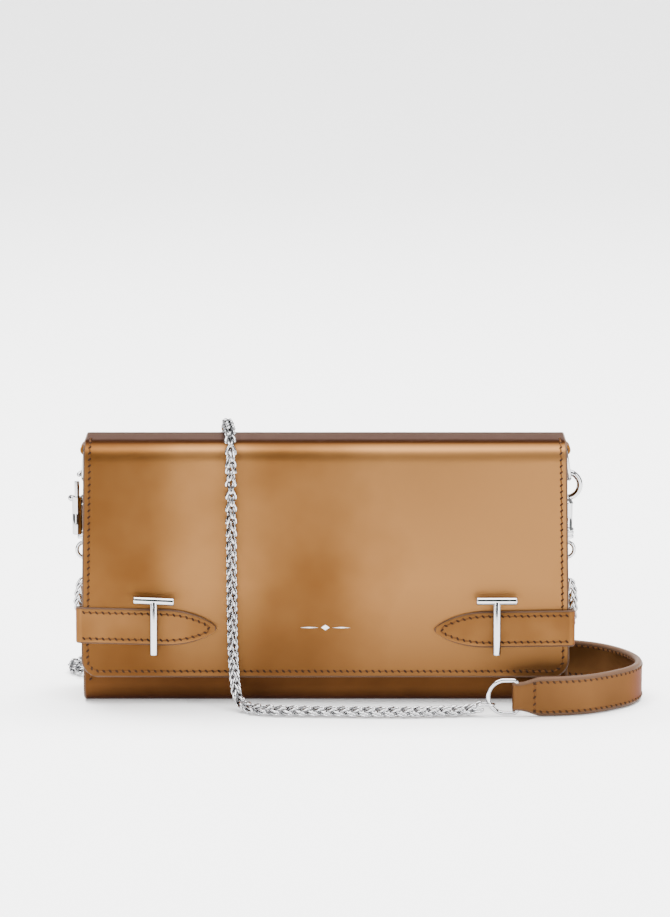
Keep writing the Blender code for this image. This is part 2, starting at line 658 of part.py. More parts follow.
def make_hook(side_name, side):
    """D-ring, snap hook with its bolt and spring, swivel eye and end ring for one side."""
    tilt = RING_TILT[side]
    ring = add_frame(side_name + "_ring_frame", (side * RING_BAR_X, HANG_Y, RING_BAR_Z), (0, -side * tilt, 0))
    outline = d_outline(RING_WIDTH, RING_DROP, RING_CORNER)
    wire(side_name + "_d_ring", [(0, y, z) for y, z in outline], RING_WIRE, "chrome", ring, closed=True)
    low_x = RING_BAR_X + RING_DROP * math.sin(tilt)
    low_z = RING_BAR_Z - RING_DROP * math.cos(tilt)
    jaw_radius = (JAW_DIAMETER - JAW_WIRE) / 2
    jaw_z = low_z + RING_WIRE / 2 + GAP + JAW_WIRE / 2 - jaw_radius
    hook = add_frame(side_name + "_hook_frame", (side * (low_x + JAW_OFFSET[side]), HANG_Y, jaw_z),
                     (0, 0, HOOK_TURN[side]))
    arc = []
    for step in range(25):
        angle = math.radians(-100 + 226 * step / 24)
        arc.append((jaw_radius * math.cos(angle), 0, jaw_radius * math.sin(angle)))
    body = wire_mesh(side_name + "_hook", arc, JAW_WIRE, "chrome", hook)
    neck = -jaw_radius
    lumps = (
        rod(side_name + "_barrel", (0, 0, neck), (0, 0, BARREL_LOW), BARREL, "chrome", hook),
        rod(side_name + "_collar", (0, 0, BARREL_LOW + 1 * MM), (0, 0, COLLAR_LOW), COLLAR, "chrome", hook),
        rod(side_name + "_tube", (BOLT_X, 0, BOLT_TUBE_TOP), (BOLT_X, 0, BOLT_TUBE_LOW), BOLT_TUBE,
            "chrome", hook),
    )
    for lump in lumps:
        boolean(body, lump, "UNION")
    bore_low = BOLT_TUBE_LOW + 1.4 * MM
    stem_bore = EYE_STEM + 2 * EYE_STEM_ROOM
    slot = KNOB / 2 + GAP
    cuts = (
        rod(side_name + "_bore", (BOLT_X, 0, bore_low), (BOLT_X, 0, neck / 2 + 1.5 * MM), BOLT_BORE,
            "chrome", hook),
        box(side_name + "_slot", (BOLT_X - slot, 0, KNOB_Z - BOLT_TRAVEL - KNOB / 2 - GAP),
            (BOLT_X + slot, 2 * BOLT_TUBE, neck / 2 + 1.5 * MM), "chrome", hook),
        rod(side_name + "_stem_bore", (0, 0, COLLAR_LOW - 1 * MM), (0, 0, COLLAR_LOW + 3 * MM), stem_bore,
            "chrome", hook),
    )
    for cut in cuts:
        boolean(body, cut, "DIFFERENCE")
    make_bolt(side_name, hook, bore_low, jaw_radius)
    make_eye(side_name, side, low_x, jaw_z)


def make_bolt(side_name, hook, bore_low, jaw_radius):
    """The sliding bolt that closes the jaw, its thumb knob and its spring."""
    tip = math.sqrt(jaw_radius**2 - BOLT_X**2) - JAW_WIRE / 2 - 2 * GAP
    bolt = rod(side_name + "_bolt", (BOLT_X, 0, BOLT_LOW), (BOLT_X, 0, tip), BOLT, "chrome", hook)
    knob = rod(side_name + "_knob", (BOLT_X, 0, KNOB_Z), (BOLT_X, KNOB_REACH, KNOB_Z), KNOB, "chrome", hook)
    boolean(bolt, knob, "UNION")
    low = bore_low + GAP + SPRING_WIRE / 2
    high = BOLT_LOW - GAP - SPRING_WIRE / 2
    coil = []
    for step in range(SPRING_TURNS * 10 + 1):
        angle = 2 * math.pi * step / 10
        height = low + (high - low) * step / (SPRING_TURNS * 10)
        coil.append((BOLT_X + SPRING_RADIUS * math.cos(angle), SPRING_RADIUS * math.sin(angle), height))
    wire(side_name + "_spring", coil, SPRING_WIRE, "chrome", hook)


def ring_points(centre, radius, axis, steps=24):
    """Points of a circle about a centre, in the plane across the axis."""
    points = []
    for step in range(steps):
        angle = 2 * math.pi * step / steps
        flat = {"x": (0, math.cos(angle), math.sin(angle)), "y": (math.cos(angle), 0, math.sin(angle))}[axis]
        points.append(Vector(centre) + radius * Vector(flat))
    return points


def make_eye(side_name, side, low_x, jaw_z):
    """The swivel eye under the hook and the ring that takes the chain."""
    centre = Vector((side * (low_x + JAW_OFFSET[side]), HANG_Y, jaw_z + COLLAR_LOW))
    eye_centre = centre - Vector((0, 0, EYE_RADIUS + EYE_WIRE / 2 + GAP + 0.4 * MM))
    eye = wire_mesh(side_name + "_swivel_eye", ring_points(eye_centre, EYE_RADIUS, "y"), EYE_WIRE, "chrome",
                    closed=True)
    stem_top = centre + Vector((0, 0, 2.6 * MM))
    stem = rod(side_name + "_eye_stem", eye_centre + Vector((0, 0, EYE_RADIUS)), stem_top, EYE_STEM, "chrome")
    boolean(eye, stem, "UNION")
    drop = EYE_RADIUS - EYE_WIRE / 2 - END_WIRE / 2 - GAP + END_RADIUS
    end_centre = eye_centre - Vector((0, 0, drop))
    wire(side_name + "_end_ring", ring_points(end_centre, END_RADIUS, "x"), END_WIRE, "chrome", closed=True)


def fitted(route):
    """A route, in millimetres, moved out with the case: points in front of the case follow the
    flap's slope, the others go up with the fold, and both go out with its faces."""
    rise, out = (HEIGHT - ROUTE_HEIGHT) / MM, (DEPTH - ROUTE_DEPTH) / 2 / MM

    def move(x, y, z):
        front, behind = min(max(-y / 9, 0), 1), min(max((y - 7) / 13, 0), 1)
        sloped = min(max((z - FLAP_EDGE_Z / MM) / (ROUTE_HEIGHT - FLAP_EDGE_Z) * MM, 0), 1)
        up = front * sloped + (1 - front) * min(max((z - 5) / 40, 0), 1)
        return x, y + out * (behind - front), z + rise * up

    return [move(*point) for point in route]


def make_chains():
    """Both lengths of chain as plain tubes along their routes."""
    wire("left_chain", smooth_route(fitted(LEFT_CHAIN_ROUTE), CHAIN_STEP), CHAIN, "chrome")
    wire("right_chain", smooth_route(fitted(RIGHT_CHAIN_ROUTE), CHAIN_STEP), CHAIN, "chrome")


def make_strap():
    """The leather strap, standing on its edge, and the D-ring at each of its ends."""
    route = smooth_route(fitted([(x, y, 0) for x, y in STRAP_ROUTE]), STRAP_STEP)

    def place(across, row):
        before, after = route[max(0, row - 1)], route[min(len(route) - 1, row + 1)]
        along = (after - before).normalized()
        side = Vector((-along.y, along.x, 0)) * STRAP_THICK / 2
        return route[row] + side + Vector((0, 0, STRAP_Z + STRAP_WIDTH * across))

    sheet("leather_strap", place, 1, len(route) - 1, STRAP_THICK, "leather")
    middle_z = (STRAP_RING_Z + STRAP_RING_TOP) / 2 + STRAP_RING_WIRE / 4
    width = STRAP_RING_TOP - STRAP_RING_Z
    outline = d_outline(width, STRAP_RING_REACH, RING_CORNER)
    clear = STRAP_RING_WIRE / 2 + GAP
    first, last = route[0], route[-1]
    for name, end in (("strap_ring_front", first), ("strap_ring_back", last)):
        points = [(end.x - (clear - second), end.y, middle_z + along) for along, second in outline]
        wire(name, points, STRAP_RING_WIRE, "chrome", closed=True)


def main():
    flap, lining = make_case()
    face = add_frame("flap_face", (0, FLAP_EDGE_Y, FLAP_EDGE_Z), (-FLAP_LEAN, 0, 0))
    make_toggles(flap, lining, face)
    make_tabs(face)
    make_magnets(face)
    make_gussets()
    make_pocket()
    make_zip()
    for side_name, side in SIDES.items():
        make_ring_tab(side_name, side)
        make_hook(side_name, side)
    make_chains()
    make_strap()


main()
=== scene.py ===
"""A long bronze leather wallet on a chain, dressed piece by piece round its fixed frame.

The case, flap, tabs and strap are slabs of leather with painted edges and real stitches; the hardware
is swept and turned metal; the chain is made of separate folded links. Units are metres, +X is to the
right, -Y is the front and +Z is up.
"""

from __future__ import annotations

import logging
import math
from collections.abc import Callable
from dataclasses import dataclass, field
from enum import Enum

import bmesh
import bpy
import numpy as np
from numpy.typing import NDArray
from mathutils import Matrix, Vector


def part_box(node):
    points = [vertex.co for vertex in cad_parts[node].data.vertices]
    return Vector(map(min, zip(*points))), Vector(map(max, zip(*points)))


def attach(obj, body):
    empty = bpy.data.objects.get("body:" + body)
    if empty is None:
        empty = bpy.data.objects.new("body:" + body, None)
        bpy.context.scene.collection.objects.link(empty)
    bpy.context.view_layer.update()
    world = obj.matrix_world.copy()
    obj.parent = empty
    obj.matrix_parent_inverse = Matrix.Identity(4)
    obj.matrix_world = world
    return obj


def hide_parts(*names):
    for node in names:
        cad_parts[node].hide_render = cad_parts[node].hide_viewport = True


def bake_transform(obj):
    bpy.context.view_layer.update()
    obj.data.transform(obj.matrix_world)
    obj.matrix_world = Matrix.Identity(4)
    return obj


MM = 0.001
LOG = logging.getLogger("chain_wallet")
Points = NDArray[np.float64]
Quads = NDArray[np.int64]
Colour = tuple[float, float, float]
Place = Callable[[Points, Points], Points]

EDGE_MARK = 1  # finish number of a slab's painted edge, and of a needle hole's dark bead of painted shade
EDGE_SHARE = 0.97  # a slab is painted where its thickness is under this share of the full one


class Side(Enum):
    """The two ends of the wallet."""

    LEFT = -1
    RIGHT = 1

    @property
    def word(self) -> str:
        """The side's name in piece names."""
        return self.name.lower()


# ---------------------------------------------------------------- surfaces


@dataclass
class Surface:
    """Points, four-cornered faces and a finish number for each face."""

    points: Points
    quads: Quads
    marks: NDArray[np.int64]

    def moved(self, matrix: Points, offset: Points) -> Surface:
        """The surface turned by a 3x3 matrix and then moved."""
        return Surface(self.points @ matrix.T + offset, self.quads, self.marks)


def joined(parts: list[Surface]) -> Surface:
    """One surface from several, with the faces renumbered.

    Args:
        parts: The surfaces, in order.

    Returns:
        All of them as one surface.
    """
    starts = np.cumsum([0] + [len(part.points) for part in parts[:-1]])
    return Surface(
        np.concatenate([part.points for part in parts]),
        np.concatenate([part.quads + start for part, start in zip(parts, starts)]),
        np.concatenate([part.marks for part in parts]),
    )


def grid(points: Points, wrap_rows: bool = False, wrap_columns: bool = False, mark: int = 0) -> Surface:
    """Faces between neighbours of a grid: corner (r, c), (r, c+1), (r+1, c+1), (r+1, c).

    Args:
        points: The places, as rows x columns x 3.
        wrap_rows: Whether the last row joins the first.
        wrap_columns: Whether the last column joins the first.
        mark: The finish number.

    Returns:
        The surface.
    """
    rows, columns = points.shape[:2]
    r = np.arange(rows if wrap_rows else rows - 1)[:, None]
    c = np.arange(columns if wrap_columns else columns - 1)[None, :]
    r_next, c_next = (r + 1) % rows, (c + 1) % columns
    quads = np.stack(
        [r * columns + c, r * columns + c_next, r_next * columns + c_next, r_next * columns + c], axis=-1
    ).reshape(-1, 4)
    return Surface(points.reshape(-1, 3), quads, np.full(len(quads), mark))


def repeated(shape: Surface, centres: Points, axes: Points) -> Surface:
    """Copies of a shape, each turned to its own axes: point = centre + x a0 + y a1 + z a2.

    Args:
        shape: The surface to copy.
        centres: One place for each copy.
        axes: Three unit vectors for each copy, as copies x 3 x 3, in rows.

    Returns:
        All the copies as one surface.
    """
    points = centres[:, None, :] + np.einsum("vk,nkj->nvj", shape.points, axes)
    count, each = len(centres), len(shape.points)
    quads = (shape.quads[None] + each * np.arange(count)[:, None, None]).reshape(-1, 4)
    return Surface(points.reshape(-1, 3), quads, np.tile(shape.marks, count))


def normalised(vectors: Points) -> Points:
    """Vectors at unit length."""
    return vectors / np.maximum(np.linalg.norm(vectors, axis=-1, keepdims=True), 1e-12)


def carried_frames(path: Points, closed: bool = False) -> tuple[Points, Points, Points]:
    """Tangents along a path with two cross directions that never twist: each is the last one with its
    part along the new tangent taken away.

    Args:
        path: The points of the path.
        closed: Whether the path is a loop.

    Returns:
        Tangents, first and second cross directions.
    """
    if closed:
        tangents = normalised(np.roll(path, -1, axis=0) - np.roll(path, 1, axis=0))
    else:
        tangents = normalised(np.gradient(path, axis=0))
    start = np.eye(3)[np.argmin(np.abs(tangents[0]))]
    across = []
    for tangent in tangents:
        start = start - tangent * (start @ tangent)
        start = start / np.linalg.norm(start)
        across.append(start)
    first = np.array(across)
    return tangents, first, np.cross(tangents, first)


def tube(path: Points, radius: float | Points, sides: int = 16, closed: bool = False) -> Surface:
    """A round wire: centre + r (cos a first + sin a second), its ends drawn in to a point.

    Args:
        path: The centreline.
        radius: One radius, or one for each point of the path.
        sides: How many faces go round.
        closed: Whether it is a loop.

    Returns:
        The surface.
    """
    _, first, second = carried_frames(path, closed)
    angle = 2 * np.pi * np.arange(sides) / sides
    spread = np.broadcast_to(np.asarray(radius, float), (len(path),))[:, None, None]
    ring = np.cos(angle)[None, :, None] * first[:, None] + np.sin(angle)[None, :, None] * second[:, None]
    points = path[:, None] + spread * ring
    if not closed:
        ends = [np.repeat(path[k][None, None], sides, axis=1) for k in (0, -1)]
        points = np.concatenate([ends[0], points, ends[1]])
    return grid(points, wrap_rows=closed, wrap_columns=True)


def round_bar(start: Points, end: Points, radius: float, ease: float, sides: int = 28) -> Surface:
    """A straight bar with eased ends: radius - ease (1 - cos a) at a depth of ease (1 - sin a).

    Args:
        start: Centre of one end.
        end: Centre of the other end.
        radius: Its radius.
        ease: Size of the rounded rim.
        sides: How many faces go round.

    Returns:
        The surface.
    """
    length = float(np.linalg.norm(end - start))
    turn = np.linspace(np.pi / 2, 0, 6)
    rims = radius - ease * (1 - np.cos(turn))
    depths = ease * (1 - np.sin(turn))
    radii = np.concatenate([rims, rims[::-1]])
    along = np.concatenate([depths, length - depths[::-1]])
    return turned(np.stack([radii, along], axis=1), start, normalised(end - start), sides)


def turned(profile: Points, foot: Points, axis: Points, sides: int = 32) -> Surface:
    """A turned shape: foot + h axis + r (cos a first + sin a second) for each (r, h) of a profile.

    Args:
        profile: Radius and height along the axis, from the foot up.
        foot: The place of height nought.
        axis: The unit axis.
        sides: How many faces go round.

    Returns:
        The surface, closed at both ends.
    """
    helper = np.eye(3)[np.argmin(np.abs(axis))]
    first = normalised(np.cross(helper, axis))
    second = np.cross(axis, first)
    angle = 2 * np.pi * np.arange(sides) / sides
    ring = np.cos(angle)[:, None] * first + np.sin(angle)[:, None] * second
    ends = np.array([[0.0, profile[0, 1]], [0.0, profile[-1, 1]]])
    rows = np.concatenate([ends[:1], profile, ends[1:]])
    points = foot + rows[:, 1, None, None] * axis + rows[:, 0, None, None] * ring[None]
    return grid(points, wrap_columns=True)


def rim_steps(length: float, thickness: float, count: int, rim: int = 4) -> tuple[Points, Points]:
    """Places across a slab and its half thickness there: near an edge the half thickness is that of a
    half round, sin a, at a distance of (1 - cos a) half thicknesses.

    Args:
        length: Size of the slab that way.
        thickness: Its full thickness.
        count: Steps over the flat part.
        rim: Steps over each rounded edge.

    Returns:
        Shares of the length from 0 to 1, and shares of the half thickness.
    """
    turn = np.linspace(0, np.pi / 2, rim + 1)[:-1]
    near = thickness / 2 * (1 - np.cos(turn)) / length
    flat = np.linspace(thickness / 2 / length, 1 - thickness / 2 / length, count + 1)
    shares = np.concatenate([near, flat, 1 - near[::-1]])
    heights = np.concatenate([np.sin(turn), np.ones(count + 1), np.sin(turn)[::-1]])
    return shares, heights


def slab(
    place: Place,
    size: tuple[float, float],
    counts: tuple[int, int],
    thickness: float,
    painted_ends: bool = True,
) -> Surface:
    """A sheet with rounded edges: the outer face is place(u, v), the middle lies half a thickness under
    it, and both faces stand off the middle by the eased half thickness.

    Args:
        place: Outer face from shares across (u) and along (v), both as grids.
        size: Width across and length along.
        counts: Steps across and along.
        thickness: The full thickness.
        painted_ends: Whether the two short ends are painted like the long edges.

    Returns:
        The closed surface, with finish number 0 on its faces and 1 on its painted edges.
    """
    u, rise_u = rim_steps(size[0], thickness, counts[0])
    v, rise_v = rim_steps(size[1], thickness, counts[1])
    outer = place(*np.meshgrid(u, v))
    normal = normalised(np.cross(np.gradient(outer, axis=1), np.gradient(outer, axis=0)))
    rise = np.minimum(rise_u[None, :], rise_v[:, None])[..., None] * thickness / 2
    middle = outer - normal * thickness / 2
    top, bottom = grid(middle + normal * rise), grid(middle - normal * rise)
    bottom.quads = bottom.quads[:, ::-1]
    across, along = np.meshgrid(rise_u < EDGE_SHARE, rise_v < EDGE_SHARE)
    soft = (across | (along & painted_ends)).reshape(-1)
    for face in (top, bottom):
        face.marks = np.where(soft[face.quads].any(axis=1), EDGE_MARK, face.marks)
    return joined([top, bottom])


def build(
    name: str, surface: Surface, finishes: list[bpy.types.Material], weld: float = 2e-7
) -> bpy.types.Object:
    """Put a surface in the scene as a piece, with coincident points made one.

    Args:
        name: The piece's name.
        surface: Its surface.
        finishes: A material for each finish number.
        weld: Points this close become one.

    Returns:
        The piece.
    """
    mesh = bpy.data.meshes.new(name)
    mesh.from_pydata(surface.points.tolist(), [], surface.quads.tolist())
    for finish in finishes:
        mesh.materials.append(finish)
    mesh.polygons.foreach_set("material_index", surface.marks.astype(np.int32))
    shape = bmesh.new()
    shape.from_mesh(mesh)
    bmesh.ops.remove_doubles(shape, verts=shape.verts, dist=weld)
    bmesh.ops.dissolve_degenerate(shape, edges=shape.edges, dist=weld)
    bmesh.ops.recalc_face_normals(shape, faces=shape.faces)
    shape.to_mesh(mesh)
    shape.free()
    mesh.shade_smooth()
    mesh.set_sharp_from_angle(angle=math.radians(50))
    piece = bpy.data.objects.new(name, mesh)
    bpy.context.scene.collection.objects.link(piece)
    LOG.info("%s: %d faces", name, len(mesh.polygons))
    return piece


def smooth_route(points: Points, step: float) -> Points:
    """Points at an even step along a smooth curve through a route: a Catmull-Rom cubic between knots.

    Args:
        points: The knots.
        step: The wanted distance between points.

    Returns:
        The even points.
    """
    ends = np.concatenate([[2 * points[0] - points[1]], points, [2 * points[-1] - points[-2]]])
    a, b, c, d = (ends[k : len(ends) - 3 + k, None] for k in range(4))
    t = (np.arange(12) / 12)[None, :, None]
    fine = 0.5 * (2 * b + (c - a) * t + (2 * a - 5 * b + 4 * c - d) * t**2 + (3 * b - a - 3 * c + d) * t**3)
    fine = np.concatenate([fine.reshape(-1, 3), points[-1:]])
    return even_points(fine, step)


def even_points(path: Points, step: float) -> Points:
    """A path read again at an even step along its length.

    Args:
        path: The points, in two or three dimensions.
        step: The wanted distance between points.

    Returns:
        The even points.
    """
    lengths = np.concatenate([[0], np.cumsum(np.linalg.norm(np.diff(path, axis=0), axis=1))])
    count = max(2, round(lengths[-1] / step))
    targets = np.linspace(0, lengths[-1], count + 1)
    return np.stack([np.interp(targets, lengths, path[:, k]) for k in range(path.shape[1])], axis=1)


def path_length(path: Points) -> float:
    """The length of a path."""
    return float(np.linalg.norm(np.diff(path, axis=0), axis=1).sum())


def rounded(corners: list[tuple[float, float]], radii: list[float], steps: int = 16) -> Points:
    """A path in a plane through corners, with an arc at each inner corner: the arc's centre lies on the
    corner's bisector, radius / sin(half the angle) away.

    Args:
        corners: The corners, in order.
        radii: A radius for each inner corner.
        steps: Steps along each arc.

    Returns:
        The path's points.
    """
    knots = np.array(corners)
    parts = [knots[:1]]
    for before, corner, after, radius in zip(knots, knots[1:], knots[2:], radii):
        back, ahead = normalised(before - corner), normalised(after - corner)
        half = math.acos(float(back @ ahead)) / 2
        centre = corner + normalised(back + ahead) * radius / math.sin(half)
        start = corner + back * radius / math.tan(half) - centre
        cross = back[0] * ahead[1] - back[1] * ahead[0]
        turn = -math.copysign(math.pi - 2 * half, cross) * np.linspace(0, 1, steps + 1)
        cos, sin = np.cos(turn), np.sin(turn)
        arc = [start[0] * cos - start[1] * sin, start[0] * sin + start[1] * cos]
        parts.append(centre + np.stack(arc, axis=1))
    parts.append(knots[-1:])
    return np.concatenate(parts)


# ---------------------------------------------------------------- finishes


def new_material(name: str) -> tuple[bpy.types.Material, bpy.types.Node]:
    """A new material.

    Args:
        name: Its name.

    Returns:
        The material and its Principled shader.
    """
    material = bpy.data.materials.new(name)
    material.use_nodes = True
    return material, material.node_tree.nodes["Principled BSDF"]


def grain_group() -> bpy.types.NodeTree:
    """Fine pebbled grain with soft tonal drift, shared by every leather.

    Returns:
        A group with Scale, Depth and Drift inputs, and Tone, Gloss and Normal outputs.
    """
    group = bpy.data.node_groups.new("leather_grain", "ShaderNodeTree")
    for label, default in (("Scale", 2600.0), ("Depth", 0.12), ("Drift", 26.0)):
        socket = group.interface.new_socket(label, in_out="INPUT", socket_type="NodeSocketFloat")
        socket.default_value = default
    for label, kind in (("Tone", "Float"), ("Gloss", "Float"), ("Normal", "Vector")):
        group.interface.new_socket(label, in_out="OUTPUT", socket_type="NodeSocket" + kind)
    nodes, links = group.nodes, group.links
    inside, outside = nodes.new("NodeGroupInput"), nodes.new("NodeGroupOutput")
    place = nodes.new("ShaderNodeTexCoord")
    pebble = nodes.new("ShaderNodeTexVoronoi")
    pebble.feature = "SMOOTH_F1"
    fine = nodes.new("ShaderNodeTexNoise")
    fine.inputs["Detail"].default_value = 6
    drift = nodes.new("ShaderNodeTexNoise")
    drift.inputs["Detail"].default_value = 3
    add = nodes.new("ShaderNodeMath")
    add.operation = "ADD"
    bump = nodes.new("ShaderNodeBump")
    bump.inputs["Distance"].default_value = 0.0001
    gloss = nodes.new("ShaderNodeMapRange")
    gloss.inputs["To Min"].default_value = -0.06
    gloss.inputs["To Max"].default_value = 0.06
    for node in (pebble, fine, drift):
        links.new(place.outputs["Object"], node.inputs["Vector"])
    links.new(inside.outputs["Scale"], pebble.inputs["Scale"])
    links.new(inside.outputs["Scale"], fine.inputs["Scale"])
    links.new(inside.outputs["Drift"], drift.inputs["Scale"])
    links.new(pebble.outputs["Distance"], add.inputs[0])
    links.new(fine.outputs["Fac"], add.inputs[1])
    links.new(add.outputs[0], bump.inputs["Height"])
    links.new(inside.outputs["Depth"], bump.inputs["Strength"])
    links.new(drift.outputs["Fac"], outside.inputs["Tone"])
    links.new(fine.outputs["Fac"], gloss.inputs["Value"])
    links.new(gloss.outputs["Result"], outside.inputs["Gloss"])
    links.new(bump.outputs["Normal"], outside.inputs["Normal"])
    return group


# Painted sheen on the foiled flap: lighter and darker stripes across its width that stand in for
# reflections of the lights: (x in metres, share from the dark tone to the light one)
FLAP_PAINTED_SHEEN = (
    (-0.105, 0.5), (-0.078, 0.3), (-0.048, 0.8), (-0.018, 0.45), (0.022, 0.72), (0.066, 1.0), (0.105, 0.75),
)
# Painted shade on the flap, along the fold and towards its lower edge: (height, near, far, most):
# the dark tone's share is most up to near from that height and fades to nothing at far, in metres
FLAP_PAINTED_SHADES = ((0.1073, 0.0007, 0.0028, 1.0), (0.0, 0.012, 0.050, 0.60))
# Colour of the painted shade
PAINTED_SHADE_TONE = (0.035, 0.012, 0.003)


@dataclass(frozen=True)
class Leather:
    """A leather finish: two tones, gloss and grain; the last field is the share of painted sheen, and also
    turns on painted shade.
    """

    name: str
    dark: Colour
    light: Colour
    roughness: float
    metallic: float
    grain: float = 2600.0
    depth: float = 0.12
    painted_light: float = 0.0

    def make(self, group: bpy.types.NodeTree) -> bpy.types.Material:
        """The material: the grain's tone mixes the two colours and its gloss moves the roughness.

        Args:
            group: The shared grain.

        Returns:
            The material.
        """
        material, shader = new_material(self.name)
        nodes, links = material.node_tree.nodes, material.node_tree.links
        grain = nodes.new("ShaderNodeGroup")
        grain.node_tree = group
        grain.inputs["Scale"].default_value = self.grain
        grain.inputs["Depth"].default_value = self.depth
        ramp = nodes.new("ShaderNodeValToRGB")
        ramp.color_ramp.elements[0].position = 0.35
        ramp.color_ramp.elements[0].color = (*self.dark, 1)
        ramp.color_ramp.elements[1].position = 0.68
        ramp.color_ramp.elements[1].color = (*self.light, 1)
        rough = nodes.new("ShaderNodeMath")
        rough.inputs[1].default_value = self.roughness
        # Painted sheen: light and dark stripes across the flap go into the tone
        links.new(self.painted_sheen(nodes, links, grain.outputs["Tone"]), ramp.inputs["Fac"])
        # Painted shade along the fold and towards the flap's lower edge darkens the colour
        links.new(self.painted_shade(nodes, links, ramp.outputs["Color"]), shader.inputs["Base Color"])
        links.new(grain.outputs["Gloss"], rough.inputs[0])
        links.new(rough.outputs[0], shader.inputs["Roughness"])
        links.new(grain.outputs["Normal"], shader.inputs["Normal"])
        shader.inputs["Metallic"].default_value = self.metallic
        shader.inputs["Specular IOR Level"].default_value = 0.25
        shader.inputs["Specular Tint"].default_value = (0.4, 0.24, 0.13, 1)
        return material

    def painted_shade(
        self, nodes: bpy.types.Nodes, links: bpy.types.NodeLinks, colour: bpy.types.NodeSocket
    ) -> bpy.types.NodeSocket:
        """Painted shade: darken the colour along the fold and towards the lower edge, by the distance |z -
        height|.

        Args:
            nodes: The material's nodes.
            links: The material's links.
            colour: The colour so far.

        Returns:
            The darker colour, or the same one on a plain leather.
        """
        if self.painted_light == 0:
            return colour
        place = nodes.new("ShaderNodeTexCoord")
        split = nodes.new("ShaderNodeSeparateXYZ")
        links.new(place.outputs["Object"], split.inputs["Vector"])
        for height, near, far, most in FLAP_PAINTED_SHADES:
            off = nodes.new("ShaderNodeMath")
            off.operation = "SUBTRACT"
            off.inputs[1].default_value = height
            distance = nodes.new("ShaderNodeMath")
            distance.operation = "ABSOLUTE"
            share = nodes.new("ShaderNodeMapRange")
            for label, value in (("From Min", near), ("From Max", far), ("To Min", most), ("To Max", 0.0)):
                share.inputs[label].default_value = value
            mix = nodes.new("ShaderNodeMix")
            mix.data_type = "RGBA"
            mix.inputs["B"].default_value = (*PAINTED_SHADE_TONE, 1)
            links.new(split.outputs["Z"], off.inputs[0])
            links.new(off.outputs[0], distance.inputs[0])
            links.new(distance.outputs[0], share.inputs["Value"])
            links.new(share.outputs["Result"], mix.inputs["Factor"])
            links.new(colour, mix.inputs["A"])
            colour = mix.outputs["Result"]
        return colour

    def painted_sheen(
        self, nodes: bpy.types.Nodes, links: bpy.types.NodeLinks, tone: bpy.types.NodeSocket
    ) -> bpy.types.NodeSocket:
        """Mix the tone with broad soft stripes across the width: a painted sheen that stands in for
        reflections of the lights.

        Args:
            nodes: The material's nodes.
            links: The material's links.
            tone: The grain's tone.

        Returns:
            The mixed tone, or the same one on a plain leather.
        """
        if self.painted_light == 0:
            return tone
        place = nodes.new("ShaderNodeTexCoord")
        split = nodes.new("ShaderNodeSeparateXYZ")
        span = nodes.new("ShaderNodeMapRange")
        first_x, last_x = FLAP_PAINTED_SHEEN[0][0], FLAP_PAINTED_SHEEN[-1][0]
        span.inputs["From Min"].default_value = first_x
        span.inputs["From Max"].default_value = last_x
        curve = nodes.new("ShaderNodeFloatCurve")
        points = curve.mapping.curves[0].points
        shares = [((x - first_x) / (last_x - first_x), value) for x, value in FLAP_PAINTED_SHEEN]
        points[0].location, points[-1].location = shares[0], shares[-1]
        for share in shares[1:-1]:
            points.new(*share)
        curve.mapping.update()
        mix = nodes.new("ShaderNodeMix")
        mix.inputs["Factor"].default_value = self.painted_light
        links.new(place.outputs["Object"], split.inputs["Vector"])
        links.new(split.outputs["X"], span.inputs["Value"])
        links.new(span.outputs["Result"], curve.inputs["Value"])
        links.new(tone, mix.inputs["A"])
        links.new(curve.outputs["Value"], mix.inputs["B"])
        return mix.outputs["Result"]


@dataclass(frozen=True)
class Metal:
    """A polished or satin metal with faint handling marks, darker by rim where it turns away."""

    name: str
    colour: Colour
    roughness: float
    rim: float = 0.6

    def make(self) -> bpy.types.Material:
        """The material: noise moves the roughness a little.

        Returns:
            The material.
        """
        material, shader = new_material(self.name)
        nodes, links = material.node_tree.nodes, material.node_tree.links
        place = nodes.new("ShaderNodeTexCoord")
        marks = nodes.new("ShaderNodeTexNoise")
        marks.inputs["Scale"].default_value = 900
        marks.inputs["Detail"].default_value = 5
        spread = nodes.new("ShaderNodeMapRange")
        spread.inputs["To Min"].default_value = self.roughness * 0.7
        spread.inputs["To Max"].default_value = self.roughness * 1.5
        links.new(place.outputs["Object"], marks.inputs["Vector"])
        links.new(marks.outputs["Fac"], spread.inputs["Value"])
        links.new(spread.outputs["Result"], shader.inputs["Roughness"])
        shader.inputs["Base Color"].default_value = (*self.colour, 1)
        shader.inputs["Specular Tint"].default_value = (self.rim, self.rim, self.rim, 1)
        shader.inputs["Metallic"].default_value = 1.0
        return material


